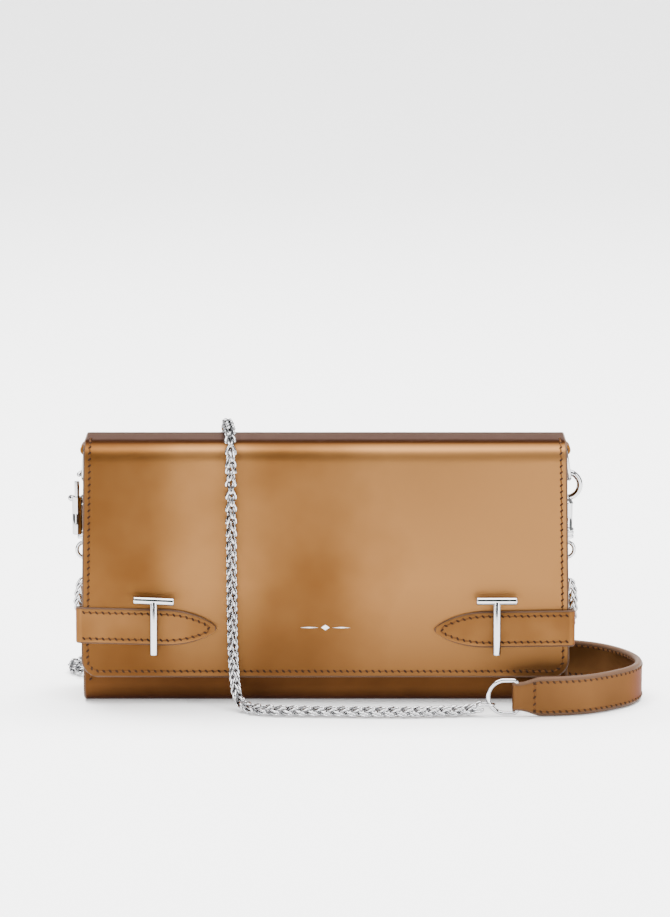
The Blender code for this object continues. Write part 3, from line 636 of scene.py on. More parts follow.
@dataclass(frozen=True)
class Cloth:
    """A woven lining or tape: two crossed waves raise the threads."""

    name: str
    colour: Colour
    thread: float = 1400.0

    def make(self) -> bpy.types.Material:
        """The material: the higher of the two waves is the raised thread.

        Returns:
            The material.
        """
        material, shader = new_material(self.name)
        nodes, links = material.node_tree.nodes, material.node_tree.links
        place = nodes.new("ShaderNodeTexCoord")
        waves = []
        for direction in ("X", "Z"):
            wave = nodes.new("ShaderNodeTexWave")
            wave.bands_direction = direction
            wave.inputs["Scale"].default_value = self.thread
            wave.inputs["Distortion"].default_value = 0.6
            links.new(place.outputs["Object"], wave.inputs["Vector"])
            waves.append(wave)
        weave = nodes.new("ShaderNodeMath")
        weave.operation = "MAXIMUM"
        tone = nodes.new("ShaderNodeMapRange")
        tone.inputs["To Min"].default_value = 0.55
        tone.inputs["To Max"].default_value = 1.0
        mix = nodes.new("ShaderNodeMix")
        mix.data_type = "RGBA"
        mix.inputs["A"].default_value = (*(0.5 * c for c in self.colour), 1)
        mix.inputs["B"].default_value = (*self.colour, 1)
        bump = nodes.new("ShaderNodeBump")
        bump.inputs["Strength"].default_value = 0.4
        bump.inputs["Distance"].default_value = 0.0001
        links.new(waves[0].outputs["Fac"], weave.inputs[0])
        links.new(waves[1].outputs["Fac"], weave.inputs[1])
        links.new(weave.outputs[0], tone.inputs["Value"])
        links.new(tone.outputs["Result"], mix.inputs["Factor"])
        links.new(mix.outputs["Result"], shader.inputs["Base Color"])
        links.new(weave.outputs[0], bump.inputs["Height"])
        links.new(bump.outputs["Normal"], shader.inputs["Normal"])
        shader.inputs["Roughness"].default_value = 0.85
        return material


class Finishes:
    """Every finish of the wallet, built once."""

    def __init__(self) -> None:
        """Build the materials."""
        grain = grain_group()
        leathers = (
            Leather("bronze_leather", (0.13, 0.050, 0.011), (0.19, 0.080, 0.019), 0.40, 0.75),
            Leather("bronze_flap", (0.11, 0.043, 0.010), (0.26, 0.122, 0.040), 0.38, 0.75, painted_light=0.6),
            Leather("bronze_body", (0.047, 0.017, 0.005), (0.08, 0.031, 0.009), 0.42, 0.7),
            Leather("bronze_tab", (0.10, 0.04, 0.010), (0.20, 0.092, 0.03), 0.40, 0.75),
            Leather("bronze_strap", (0.068, 0.029, 0.009), (0.105, 0.047, 0.016), 0.42, 0.7),
            Leather("painted_edge", (0.055, 0.03, 0.018), (0.08, 0.045, 0.028), 0.45, 0.0, 1500, 0.05),
            Leather("inner_leather", (0.10, 0.055, 0.03), (0.14, 0.08, 0.045), 0.6, 0.0, 1800, 0.2),
            Leather("thread", (0.075, 0.03, 0.009), (0.11, 0.045, 0.014), 0.6, 0.2, 4000, 0.4),
            Leather("needle_hole_shade", (0.02, 0.01, 0.006), (0.03, 0.016, 0.01), 0.9, 0.0, 3000, 0.1),
        )
        made = [leather.make(grain) for leather in leathers]
        self.leather, self.flap, self.body, self.tab, self.strap = made[:5]
        self.edge, self.inner, self.thread, self.hole = made[5:]
        self.nickel = Metal("polished_nickel", (0.52, 0.52, 0.53), 0.10, rim=0.1).make()
        self.foil = Metal("silver_foil", (0.85, 0.84, 0.82), 0.3).make()
        self.brass = Metal("antique_brass", (0.5, 0.37, 0.17), 0.28).make()
        self.lining = Cloth("woven_lining", (0.12, 0.085, 0.06)).make()
        self.tape = Cloth("zip_tape", (0.06, 0.042, 0.035), 2400.0).make()


# ---------------------------------------------------------------- stage


@dataclass(frozen=True)
class Studio:
    """A pale sweep, soft lights and the camera."""

    eye: tuple[float, float, float] = (0.0039, -1.6, 0.3934)
    pitch: float = math.radians(10.424)
    lens: float = 157.6

    def camera(self) -> None:
        """Stand the camera in front, a little above the wallet."""
        data = bpy.data.cameras.new("camera")
        data.lens = self.lens
        data.clip_end = 50
        holder = bpy.data.objects.new("camera", data)
        holder.location = self.eye
        holder.rotation_euler = (math.pi / 2 - self.pitch, 0, 0)
        bpy.context.scene.collection.objects.link(holder)
        bpy.context.scene.camera = holder

    def floor(self) -> None:
        """A floor that sweeps up behind into a wall."""
        side = rounded([(-3.0, 0.0), (3.0, 0.0), (3.0, 4.0)], [1.2], 24)
        across = np.array([-5.0, 5.0])
        points = np.zeros((len(side), 2, 3))
        points[..., 0] = across
        points[..., 1] = side[:, 0, None]
        points[..., 2] = side[:, 1, None]
        material, shader = new_material("pale_sweep")
        shader.inputs["Base Color"].default_value = (0.86, 0.86, 0.86, 1)
        shader.inputs["Roughness"].default_value = 0.9
        shader.inputs["Specular IOR Level"].default_value = 0.1
        shader.inputs["Emission Color"].default_value = (1, 1, 1, 1)
        shader.inputs["Emission Strength"].default_value = 0.3
        sweep = build("sweep", grid(points), [material])

    def light(
        self,
        name: str,
        place: tuple[float, float, float],
        size: tuple[float, float],
        power: float,
        mirrored: bool = True,
    ) -> None:
        """One soft panel aimed at the wallet.

        Args:
            name: The lamp's name.
            place: Where it stands.
            size: Its width and height.
            power: Its power, in watts.
            mirrored: Whether metal and leather show it as a highlight.
        """
        data = bpy.data.lights.new(name, "AREA")
        data.shape = "RECTANGLE"
        data.size, data.size_y = size
        data.energy = power
        lamp = bpy.data.objects.new(name, data)
        lamp.location = place
        lamp.visible_glossy = mirrored
        aim = np.array((0.0, 0.0, 0.06)) - np.array(place)
        distance = float(np.linalg.norm(aim))
        pitch = math.acos(-aim[2] / distance)
        lamp.rotation_euler = (pitch, 0, math.atan2(aim[1], aim[0]) - math.pi / 2)
        bpy.context.scene.collection.objects.link(lamp)

    def build(self) -> None:
        """Set up all of it."""
        self.camera()
        self.floor()
        self.world()
        self.light("top_panel", (0.0, -0.2, 1.7), (2.4, 1.8), 120)
        self.light("left_panel", (-1.0, -1.3, 0.55), (0.4, 1.0), 13)
        self.light("right_panel", (1.25, -1.1, 0.5), (0.5, 1.0), 19)
        self.light("back_wash", (0.0, 0.9, 2.6), (3.5, 1.0), 300, mirrored=False)

    def world(self) -> None:
        """A surround that is bright behind and above and dark towards the front, so that metal shows
        contrast: strength rises with the backward share of the direction."""
        world = bpy.data.worlds.new("studio")
        world.use_nodes = True
        nodes, links = world.node_tree.nodes, world.node_tree.links
        place = nodes.new("ShaderNodeTexCoord")
        split = nodes.new("ShaderNodeSeparateXYZ")
        fade = nodes.new("ShaderNodeMapRange")
        for label, value in (("From Min", -0.5), ("From Max", 1.0), ("To Min", 0.05), ("To Max", 1.0)):
            fade.inputs[label].default_value = value
        links.new(place.outputs["Generated"], split.inputs["Vector"])
        links.new(split.outputs["Y"], fade.inputs["Value"])
        links.new(fade.outputs["Result"], nodes["Background"].inputs["Strength"])
        nodes["Background"].inputs["Color"].default_value = (1, 1, 1, 1)
        bpy.context.scene.world = world


# ---------------------------------------------------------------- stitches

STITCH_PITCH = 2.6 * MM
THREAD_SLANT, HOLE_SLANT = 0.10, 0.80  # turns off the seam, in radians
THREAD_HALF = (0.32 * MM, 0.24 * MM)  # half width and half height
HOLE_HALF = (0.44 * MM, 0.86 * MM, 0.24 * MM)


def bead(size: tuple[float, float, float], rows: int = 5, sides: int = 6, mark: int = 0) -> Surface:
    """A small rounded grain: x = a cos p, y = b sin p cos q, z = c sin p sin q.

    Args:
        size: The half sizes a, b and c.
        rows: Steps from end to end.
        sides: How many faces go round.
        mark: The finish number.

    Returns:
        The surface.
    """
    p = np.linspace(0, np.pi, rows + 1)[:, None]
    q = 2 * np.pi * np.arange(sides)[None, :] / sides
    a, b, c = size
    points = np.stack([a * np.cos(p) + 0 * q, b * np.sin(p) * np.cos(q), c * np.sin(p) * np.sin(q)], axis=-1)
    return grid(points, wrap_columns=True, mark=mark)


def stitch_row(line: Points, normal: Points) -> Surface:
    """Saddle stitches along a line: a sunk thread for each pitch and, between two threads, a dark bead of
    painted shade for the needle hole.

    Args:
        line: Points along the seam, on the leather's face.
        normal: Unit vectors out of the face, one for each point.

    Returns:
        Threads with finish number 0, and holes with finish number 1.
    """
    length = path_length(line)
    count = max(2, round(length / STITCH_PITCH))
    shares = np.concatenate([[0], np.cumsum(np.linalg.norm(np.diff(line, axis=0), axis=1))]) / length
    hole_at = np.linspace(0, 1, count + 1)
    thread_at = (hole_at[:-1] + hole_at[1:]) / 2

    def read(values: Points, where: Points) -> Points:
        """Vectors along the seam at shares of its length."""
        return np.stack([np.interp(where, shares, values[:, k]) for k in range(3)], axis=1)

    def axes(where: Points, turn: float) -> tuple[Points, Points]:
        """Directions out of the face, and axes turned off the seam.

        Args:
            where: Shares of the seam's length.
            turn: The turn off the seam, in radians.

        Returns:
            The directions, and three axes for each place.
        """
        out = normalised(read(normal, where))
        small = 0.5 / count
        ahead = read(line, np.clip(where + small, 0, 1)) - read(line, np.clip(where - small, 0, 1))
        along = normalised(ahead - out * (ahead * out).sum(axis=1, keepdims=True))
        side = np.cross(out, along)
        turned_along = math.cos(turn) * along + math.sin(turn) * side
        return out, np.stack([turned_along, np.cross(out, turned_along), out], axis=1)

    out, thread_axes = axes(thread_at, THREAD_SLANT)
    thread = bead((0.37 * length / count, *THREAD_HALF))
    threads = repeated(thread, read(line, thread_at) + out * 0.06 * MM, thread_axes)
    out, hole_axes = axes(hole_at, HOLE_SLANT)
    # Needle holes: dark beads of painted shade in place of real recesses
    hole = bead(HOLE_HALF, 4, 8, mark=EDGE_MARK)
    holes = repeated(hole, read(line, hole_at) + out * 0.07 * MM, hole_axes)
    return joined([threads, holes])


# ---------------------------------------------------------------- chain and strap

LEFT_CHAIN_ROUTE = MM * np.array([
    (-98.5, 7, 48.8), (-100, 9.6, 43.8), (-101.3, 14.5, 37.6), (-101.4, 20, 32.2), (-98.6, 25.4, 28.4),
    (-92, 27.2, 26.3), (-83, 26.8, 25), (-73, 26.3, 25.4), (-64, 26, 29), (-56, 25.8, 37), (-50, 25.6, 49),
    (-46, 25.4, 63), (-42.5, 25.1, 80), (-41.1, 25.1, 97), (-40.6, 22.4, 106.4), (-40, 14.8, 109.5),
    (-39.2, 6, 109.4), (-38.6, -1.5, 109.3), (-38.2, -9.6, 106.2), (-38, -12.9, 97.5), (-37.9, -14.1, 78),
    (-37.8, -15.7, 54), (-37.6, -17.3, 34), (-37.3, -18.7, 22), (-36.7, -20.4, 13.4), (-35.8, -23.2, 7),
    (-33.5, -26.8, 3.5), (-30, -30.4, 2.6), (-24.5, -33.1, 2.6), (-15, -34.4, 2.6), (0, -35, 2.6),
    (18, -36, 2.6), (37, -36, 2.6), (52, -34.6, 2.6), (58.5, -33.8, 3), (63.2, -33.9, 4.4),
])
RIGHT_CHAIN_ROUTE = MM * np.array([
    (98.8, 7.1, 48.9), (101.0, 10.8, 41.2), (101.7, 15.5, 34), (101.5, 21.5, 27), (100.2, 28, 22.6),
    (98, 33.6, 20), (95, 38.4, 16.8), (91.4, 42.4, 11), (86, 45.6, 5.4), (78, 47.2, 2.7), (67, 47.8, 2.6),
    (52, 50.5, 2.6), (34, 55.8, 2.6), (15, 58, 2.6), (-4, 55, 2.6), (-22, 49.8, 2.6), (-42, 47.6, 2.6),
    (-61, 51, 2.6), (-79, 55.6, 2.6), (-94, 55.3, 2.6), (-103, 51, 2.6), (-106, 43.5, 2.6),
    (-103.6, 37, 2.8), (-98.9, 34, 4.2),
])
STRAP_ROUTE = MM * np.array([
    (78.5, -34.1, 8.3), (92, -33.7, 8.3), (104.5, -30.6, 8.3), (115, -24, 8.3), (123.5, -15.5, 8.3),
    (127.6, -5.5, 8.3), (127, 5.5, 8.3), (121.8, 17, 8.3), (113.6, 26.3, 8.3), (103.5, 31.6, 8.3),
    (92, 33.4, 8.3), (70, 33.5, 8.3), (40, 33.5, 8.3), (10, 33.5, 8.3), (-20, 33.5, 8.3), (-52, 33.5, 8.3),
    (-84.5, 33.5, 8.3),
])


def lifted(route: Points) -> Points:
    """A route raised with the fold: z + 1.3 mm above the end rings, fading to nothing at the floor.

    Args:
        route: The knots.

    Returns:
        The raised knots.
    """
    share = np.clip((route[:, 2] / MM - 5) / 40, 0, 1)
    return route + np.outer(1.3 * MM * share, [0, 0, 1])


def facing_frames(path: Points, facing: Points) -> tuple[Points, Points, Points]:
    """Tangents along a path and cross directions that keep turning towards one direction: each first
    cross is the last one plus a quarter of that direction, with the part along the path taken away.

    Args:
        path: The points of the path.
        facing: The direction to turn to.

    Returns:
        Tangents, first and second cross directions.
    """
    tangents = normalised(np.gradient(path, axis=0))
    current = facing - tangents[0] * (facing @ tangents[0])
    firsts = []
    for tangent in tangents:
        mixed = current / max(float(np.linalg.norm(current)), 1e-9) + 0.25 * facing
        current = normalised(mixed - tangent * (mixed @ tangent))
        firsts.append(current)
    first = np.array(firsts)
    return tangents, first, np.cross(tangents, first)


@dataclass
class WheatChain:
    """A chain of folded oval links, each turned a quarter from the last."""

    diameter: float = 4.8 * MM
    pitch: float = 2.55 * MM
    wire: float = 1.04 * MM
    lobe: float = 5.6 * MM
    fold: float = math.radians(27.5)
    width: float = 1.6 * MM
    steps: int = 28
    sides: int = 8

    def link(self) -> Surface:
        """One link: an oval folded in a V about its middle, so that its two lobes lean out and forward.
        Along = |a| cos f, aside = a sin f, across = b, for an oval (a, b).

        Returns:
            The link, about its middle, along its first axis.
        """
        angle = 2 * np.pi * (np.arange(self.steps) + 0.5) / self.steps
        a = self.lobe * np.cos(angle)
        b = self.width / 2 * np.sign(np.sin(angle)) * np.abs(np.sin(angle)) ** 0.55
        along = np.sqrt(a**2 + (0.9 * MM) ** 2) * math.cos(self.fold) - self.lobe / 2
        pinch = 1 - 0.35 * (np.abs(a) / self.lobe) ** 6
        path = np.stack([along, a * math.sin(self.fold) * pinch, b], axis=1)
        return tube(path, self.wire / 2, self.sides, closed=True)

    def surface(self, route: Points) -> Surface:
        """Links along a route, every second one turned a quarter about it.

        Args:
            route: The chain's middle line.

        Returns:
            All the links but those that would stand past its ends.
        """
        centres = even_points(route, self.pitch)
        tangent, first, second = facing_frames(centres, np.array([0.0, -1.0, 0.1]))
        spin = np.pi / 4 + np.pi / 2 * np.arange(len(centres))
        cos, sin = np.cos(spin)[:, None], np.sin(spin)[:, None]
        axes = np.stack([tangent, cos * first + sin * second, cos * second - sin * first], axis=1)
        inner = slice(2, -1)
        return repeated(self.link(), centres[inner], axes[inner])

    def build(self, name: str, route: Points, ring: str, side: Side, finishes: Finishes) -> None:
        """One length of chain that leaves its end ring.

        Args:
            name: The CAD node that it replaces.
            route: The knots, from the end ring on.
            ring: The body of the D-ring; not used.
            side: The side of the wallet that it leaves; not used.
            finishes: The finishes.
        """
        route = lifted(route)
        path = smooth_route(route, 1.2 * MM)
        chain = build(name + "_links", self.surface(path), [finishes.nickel])
        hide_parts(name)
        path_length(path)
        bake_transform(chain)


def d_path(width: float, reach: float, corner: float) -> Points:
    """A D in a plane: a straight bar along the first axis with round corners, and a half round bow.

    Args:
        width: Length of the bar, from middle to middle of the wire.
        reach: How far the bow reaches, along the negative second axis.
        corner: Radius of the two corners.

    Returns:
        The closed path.
    """
    half = width / 2
    turn = np.linspace(0, np.pi / 2, 7)
    left = np.stack([-half + corner - corner * np.cos(turn), -corner + corner * np.sin(turn)], axis=1)
    right = np.stack([half - corner + corner * np.sin(turn), -corner + corner * np.cos(turn)], axis=1)
    bow = np.linspace(0, np.pi, 33)[1:-1]
    arc = np.stack([half * np.cos(bow), -(reach - half) - half * np.sin(bow)], axis=1)
    return np.concatenate([left, right, arc])


@dataclass
class Strap:
    """The leather strap on its edge, tapered and folded round a D-ring at each end."""

    width: float = 16.2 * MM
    neck: float = 11.8 * MM
    thickness: float = 3.0 * MM
    overrun: float = 3.6 * MM
    taper: tuple[float, float] = (3 * MM, 12 * MM)
    stitch_inset: float = 2.0 * MM
    stitch_end: float = 9 * MM
    ring_wire: float = 1.8 * MM
    link_wire: float = 1.0 * MM
    link_half: tuple[float, float] = (3.6 * MM, 1.7 * MM)
    link_height: float = 5.0 * MM

    def path(self) -> Points:
        """The strap's middle line, run on past both ends to wrap the rings' bars.

        Returns:
            Even points along it.
        """
        knots = smooth_route(STRAP_ROUTE, 1.5 * MM)
        head = knots[:1] + normalised(knots[:1] - knots[1:2]) * self.overrun
        tail = knots[-1:] + normalised(knots[-1:] - knots[-2:-1]) * self.overrun
        return even_points(np.concatenate([head, knots, tail]), 1.5 * MM)

    def face(self, path: Points, offset: float) -> Place:
        """One face of the strap, narrower at its ends by an eased step: 3 s^2 - 2 s^3.

        Args:
            path: The middle line.
            offset: How far the face stands off it.

        Returns:
            A function that gives the face at shares across and along.
        """
        length = path_length(path)
        distance = np.linspace(0, 1, len(path))
        tangent = normalised(np.gradient(path, axis=0))
        out = np.stack([tangent[:, 1], -tangent[:, 0], 0 * tangent[:, 0]], axis=1)

        def place(u: Points, v: Points) -> Points:
            """The face at shares across and along.

            Args:
                u: Shares across.
                v: Shares along.

            Returns:
                The points.
            """
            at = [np.interp(v, distance, path[:, k] + out[:, k] * offset) for k in range(3)]
            from_end = np.minimum(v, 1 - v) * length
            share = np.clip((from_end - self.taper[0]) / (self.taper[1] - self.taper[0]), 0, 1)
            ease = share * share * (3 - 2 * share)
            width = self.neck + (self.width - self.neck) * ease
            at[2] = at[2] + (0.5 - u) * width
            return np.stack(at, axis=-1)

        return place

    def build(self, finishes: Finishes) -> None:
        """The strap, its stitches and its two rings, each attached to the case.

        Args:
            finishes: The finishes.
        """
        path = self.path()
        size = (self.width, path_length(path))
        body = slab(self.face(path, self.thickness / 2), size, (10, 200), self.thickness, painted_ends=False)
        strap = build("strap_leather", body, [finishes.strap, finishes.edge])
        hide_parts("leather_strap")
        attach(strap, "case")
        rings = [self.ring(name, finishes) for name in ("strap_ring_front", "strap_ring_back")]
        seam = build("strap_stitches", self.seams(path), [finishes.thread, finishes.hole])
        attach(seam, "case")
        inner = even_points(smooth_route(STRAP_ROUTE, 1.5 * MM), 3 * MM)
        path_length(inner)

    def seams(self, path: Points) -> Surface:
        """Two long seams and one across each end, on both faces.

        Args:
            path: The middle line.

        Returns:
            All the stitches.
        """
        inset = self.stitch_inset / self.width
        end = self.stitch_end / path_length(path)
        rows = np.linspace(end, 1 - end, 160)
        across = np.linspace(inset, 1 - inset, 8)
        lines = [(np.full_like(rows, share), rows) for share in (inset, 1 - inset)]
        lines += [(across, np.full_like(across, share)) for share in (end, 1 - end)]
        seams = []
        for offset in (1, -1):
            place = self.face(path, offset * self.thickness / 2)
            for u, v in lines:
                step = place(u, np.clip(v + 1e-3, 0, 1)) - place(u, np.clip(v - 1e-3, 0, 1))
                normal = offset * normalised(np.cross(step, np.array([0, 0, 1.0])))
                seams.append(stitch_row(place(u, v), normal))
        return joined(seams)

    def ring(self, name: str, finishes: Finishes) -> bpy.types.Object:
        """A D-ring that fills its CAD node's box, and the closing link that holds the chain to its bow.

        Args:
            name: The CAD node that it replaces.
            finishes: The finishes.

        Returns:
            The piece.
        """
        low, high = (np.array(corner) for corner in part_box(name))
        height = high[2] - low[2] - self.ring_wire
        reach = high[0] - low[0] - self.ring_wire
        outline = d_path(height, reach, 2.4 * MM)
        bar_x = high[0] - self.ring_wire / 2
        middle = (low + high) / 2
        x, z = bar_x + outline[:, 1], middle[2] + outline[:, 0]
        path = np.stack([x, np.full_like(x, middle[1]), z], axis=1)
        turn = np.linspace(0, 2 * np.pi, 29)[:-1]
        centre = np.array([low[0] - 0.2 * MM, middle[1], self.link_height])
        long_half, short_half = self.link_half
        loop = centre + np.stack([long_half * np.cos(turn), short_half * np.sin(turn), 0 * turn], axis=1)
        wire = tube(path, self.ring_wire / 2, 16, closed=True)
        link = tube(loop, self.link_wire / 2, 10, closed=True)
        ring = build(name + "_wire", joined([wire, link]), [finishes.nickel])
        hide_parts(name)
        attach(ring, "case")
        return ring


# ---------------------------------------------------------------- case and flap


@dataclass
class Case:
    """The leather body: flap, back, base and front, with sizes read from the frame."""

    lean: float = math.radians(4)
    front_top: float = 8 * MM
    back_top: float = 7 * MM
    back_bottom: float = 6 * MM
    front_bottom: float = 8 * MM
    flap_leather: float = 1.6 * MM
    wall: float = 2.0 * MM
    corner: float = 7.5 * MM
    stitch_inset: float = 2.6 * MM
    side_inset: float = 3.0 * MM
    fold_width: float = 195 * MM
    base_width: float = 197 * MM
    flap_width: float = 198 * MM
    height: float = field(init=False)
    back_y: float = field(init=False)
    edge: Points = field(init=False)
    front_offset: float = field(init=False)

    def __post_init__(self) -> None:
        """Read the driving sizes from the frame."""
        flap_low, flap_high = (np.array(corner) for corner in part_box("flap"))
        self.height = float(flap_high[2])
        self.back_y = float(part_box("back_panel")[1][1])
        self.edge = np.array([flap_low[1], flap_low[2] + self.flap_leather * math.sin(self.lean)])
        self.front_offset = 4.8 * MM / math.cos(self.lean)

    def flap_y(self, z: float | Points) -> float | Points:
        """The flap's outer face at a height."""
        return self.edge[0] + (z - self.edge[1]) * math.tan(self.lean)

    def flap_half(self, z: Points) -> Points:
        """Half the flap's width at a height, without its round corners."""
        share = (z - self.edge[1]) / (self.height - self.edge[1])
        return (self.flap_width + (self.fold_width - self.flap_width) * share) / 2

    def body_half(self, z: Points) -> Points:
        """Half the body's width at a height."""
        return (self.base_width + (self.fold_width - self.base_width) * z / self.height) / 2

    def outline(self) -> Points:
        """The outer line from the flap's edge over the fold and down the back.

        Returns:
            Its points, as (y, z).
        """
        top = (float(self.flap_y(self.height)), self.height)
        corners = [tuple(self.edge), top, (self.back_y, self.height), (self.back_y, 0.0)]
        path = rounded(corners, [self.front_top, self.back_top])
        heel = path[:, 1] > self.back_bottom * 0.30
        keep = heel | (path[:, 0] < self.back_y - 1 * MM)
        path = path[keep]
        return np.concatenate([path, [[self.back_y, self.back_bottom]]])

    def wave(self, x: Points, share: Points) -> Points:
        """The flap's gentle waves: a cosine of x, faded by a sine to nothing at the edge and the fold.

        Args:
            x: Places across.
            share: Shares of the way up from the flap's edge to the fold.

        Returns:
            How far the face stands out there.
        """
        fade = np.sin(np.pi * np.clip(share, 0, 1)) ** 0.8
        swell = 0.7 * np.cos(2 * np.pi * (x - 0.035) / 0.13) + 0.15
        return MM * fade * swell

    def shell(self, finishes: Finishes) -> None:
        """Flap, fold and back in one leather that bends at the fold.

        Args:
            finishes: The finishes.
        """
        path = even_points(self.outline(), 0.8 * MM)
        length = path_length(path)
        shares = np.linspace(0, 1, len(path))
        tangent = normalised(np.gradient(path, axis=0))
        front_share = (self.height - self.edge[1]) / length

        def place(u: Points, v: Points) -> Points:
            """The outer face at shares across and along.

            Args:
                u: Shares across.
                v: Shares along.

            Returns:
                The points.
            """
            y, z = np.interp(v, shares, path[:, 0]), np.interp(v, shares, path[:, 1])
            ty, tz = np.interp(v, shares, tangent[:, 0]), np.interp(v, shares, tangent[:, 1])
            low = np.clip(v * length, 0, self.corner)
            cut = self.corner - np.sqrt(np.maximum(self.corner**2 - (self.corner - low) ** 2, 0))
            half = np.where(v < front_share * 1.2, self.flap_half(z) - cut, self.body_half(z))
            x = (2 * u - 1) * half
            bump = self.wave(x, v / front_share) * (v < front_share)
            return np.stack([x, y - tz * bump, z + ty * bump], axis=-1)

        surface = slab(place, (self.flap_width, length), (60, 170), self.flap_leather)
        piece = build("flap_and_back_leather", surface, [finishes.flap, finishes.edge])
        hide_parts("flap", "back_panel")
        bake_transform(piece)
        self.flap_stitches(finishes)

    def flap_stitches(self, finishes: Finishes) -> None:
        """One seam down the left side, round the lower corners and up the right side.

        Args:
            finishes: The finishes.
        """
        inset = self.stitch_inset
        path = even_points(self.outline(), 0.4 * MM)
        walked = np.linspace(0, path_length(path), len(path))
        tangent = normalised(np.gradient(path, axis=0))
        corner = np.linspace(0, np.pi / 2, 14)
        radius = self.corner - inset
        top = (self.height - self.edge[1]) / math.cos(self.lean) + 6 * MM
        climb = np.linspace(top, self.corner, 120)
        rise = np.concatenate([climb, (self.corner - radius * np.sin(corner))[1:]])
        aside = np.concatenate([np.full(len(climb), inset), (inset + radius * (1 - np.cos(corner)))[1:]])
        middle = np.linspace(-1, 1, 120)[1:-1]
        left_x = aside - self.flap_half(np.interp(rise, walked, path[:, 1]))
        x = np.concatenate([left_x, middle * (self.flap_width / 2 - self.corner), -left_x[::-1]])
        s = np.concatenate([rise, np.full(len(middle), inset), rise[::-1]])
        y, z = np.interp(s, walked, path[:, 0]), np.interp(s, walked, path[:, 1])
        ty, tz = np.interp(s, walked, tangent[:, 0]), np.interp(s, walked, tangent[:, 1])
        normal = normalised(np.stack([0 * x, -tz, ty], axis=1))
        share = s / (self.height - self.edge[1])
        line = np.stack([x, y, z], axis=1) + (self.wave(x, share) * (share < 1))[:, None] * normal
        seam = build("flap_stitches", stitch_row(line, normal), [finishes.thread, finishes.hole])
        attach(seam, "flap")

    def front(self, finishes: Finishes) -> None:
        """Base and front in one leather that bends at the toe.

        Args:
            finishes: The finishes.
        """
        top = float(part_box("front_panel")[1][2])
        toe_y, top_y = (float(self.flap_y(z)) + self.front_offset for z in (0.0, top))
        corners = [(self.back_y, self.back_bottom), (self.back_y, 0.0), (toe_y, 0.0), (top_y, top)]
        path = even_points(rounded(corners, [self.back_bottom - 0.05 * MM, self.front_bottom]), 0.8 * MM)
        length = path_length(path)
        shares = np.linspace(0, 1, len(path))

        def place(u: Points, v: Points) -> Points:
            """The outer face at shares across and along.

            Args:
                u: Shares across.
                v: Shares along.

            Returns:
                The points.
            """
            y, z = np.interp(v, shares, path[:, 0]), np.interp(v, shares, path[:, 1])
            return np.stack([(2 * u - 1) * self.body_half(z), y, z], axis=-1)

        surface = slab(place, (self.base_width, length), (40, 110), self.wall)
        piece = build("front_and_base_leather", surface, [finishes.body, finishes.edge])
        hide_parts("base_panel", "front_panel")
        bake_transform(piece)
        self.side_seams(finishes)

    def side_seams(self, finishes: Finishes) -> None:
        """A seam up each side of the front and of the back.

        Args:
            finishes: The finishes.
        """
        seams = {
            "front": (np.linspace(0.010, 0.090, 60), [0, -math.cos(self.lean), math.sin(self.lean)]),
            "back": (np.linspace(0.008, 0.098, 60), [0.0, 1.0, 0.0]),
        }
        for (word, (z, out)), body in zip(seams.items(), ("front", "case")):
            y = self.flap_y(z) + self.front_offset if word == "front" else np.full_like(z, self.back_y)
            normal = np.tile(out, (len(z), 1))
            rows = []
            for side in Side:
                x = side.value * (self.body_half(z) - self.side_inset)
                rows.append(stitch_row(np.stack([x, y, z], axis=1), normal))
            seam = build(word + "_stitches", joined(rows), [finishes.thread, finishes.hole])
            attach(seam, body)

    def flap_frame(self) -> tuple[Points, Points]:
        """The flap's own axes: x, into the case, up along the face.

        Returns:
            Their turn and their place.
        """
        cos, sin = math.cos(self.lean), math.sin(self.lean)
        turn = np.array([[1, 0, 0], [0, cos, sin], [0, -sin, cos]])
        return turn, np.array([0, self.edge[0], self.edge[1]])


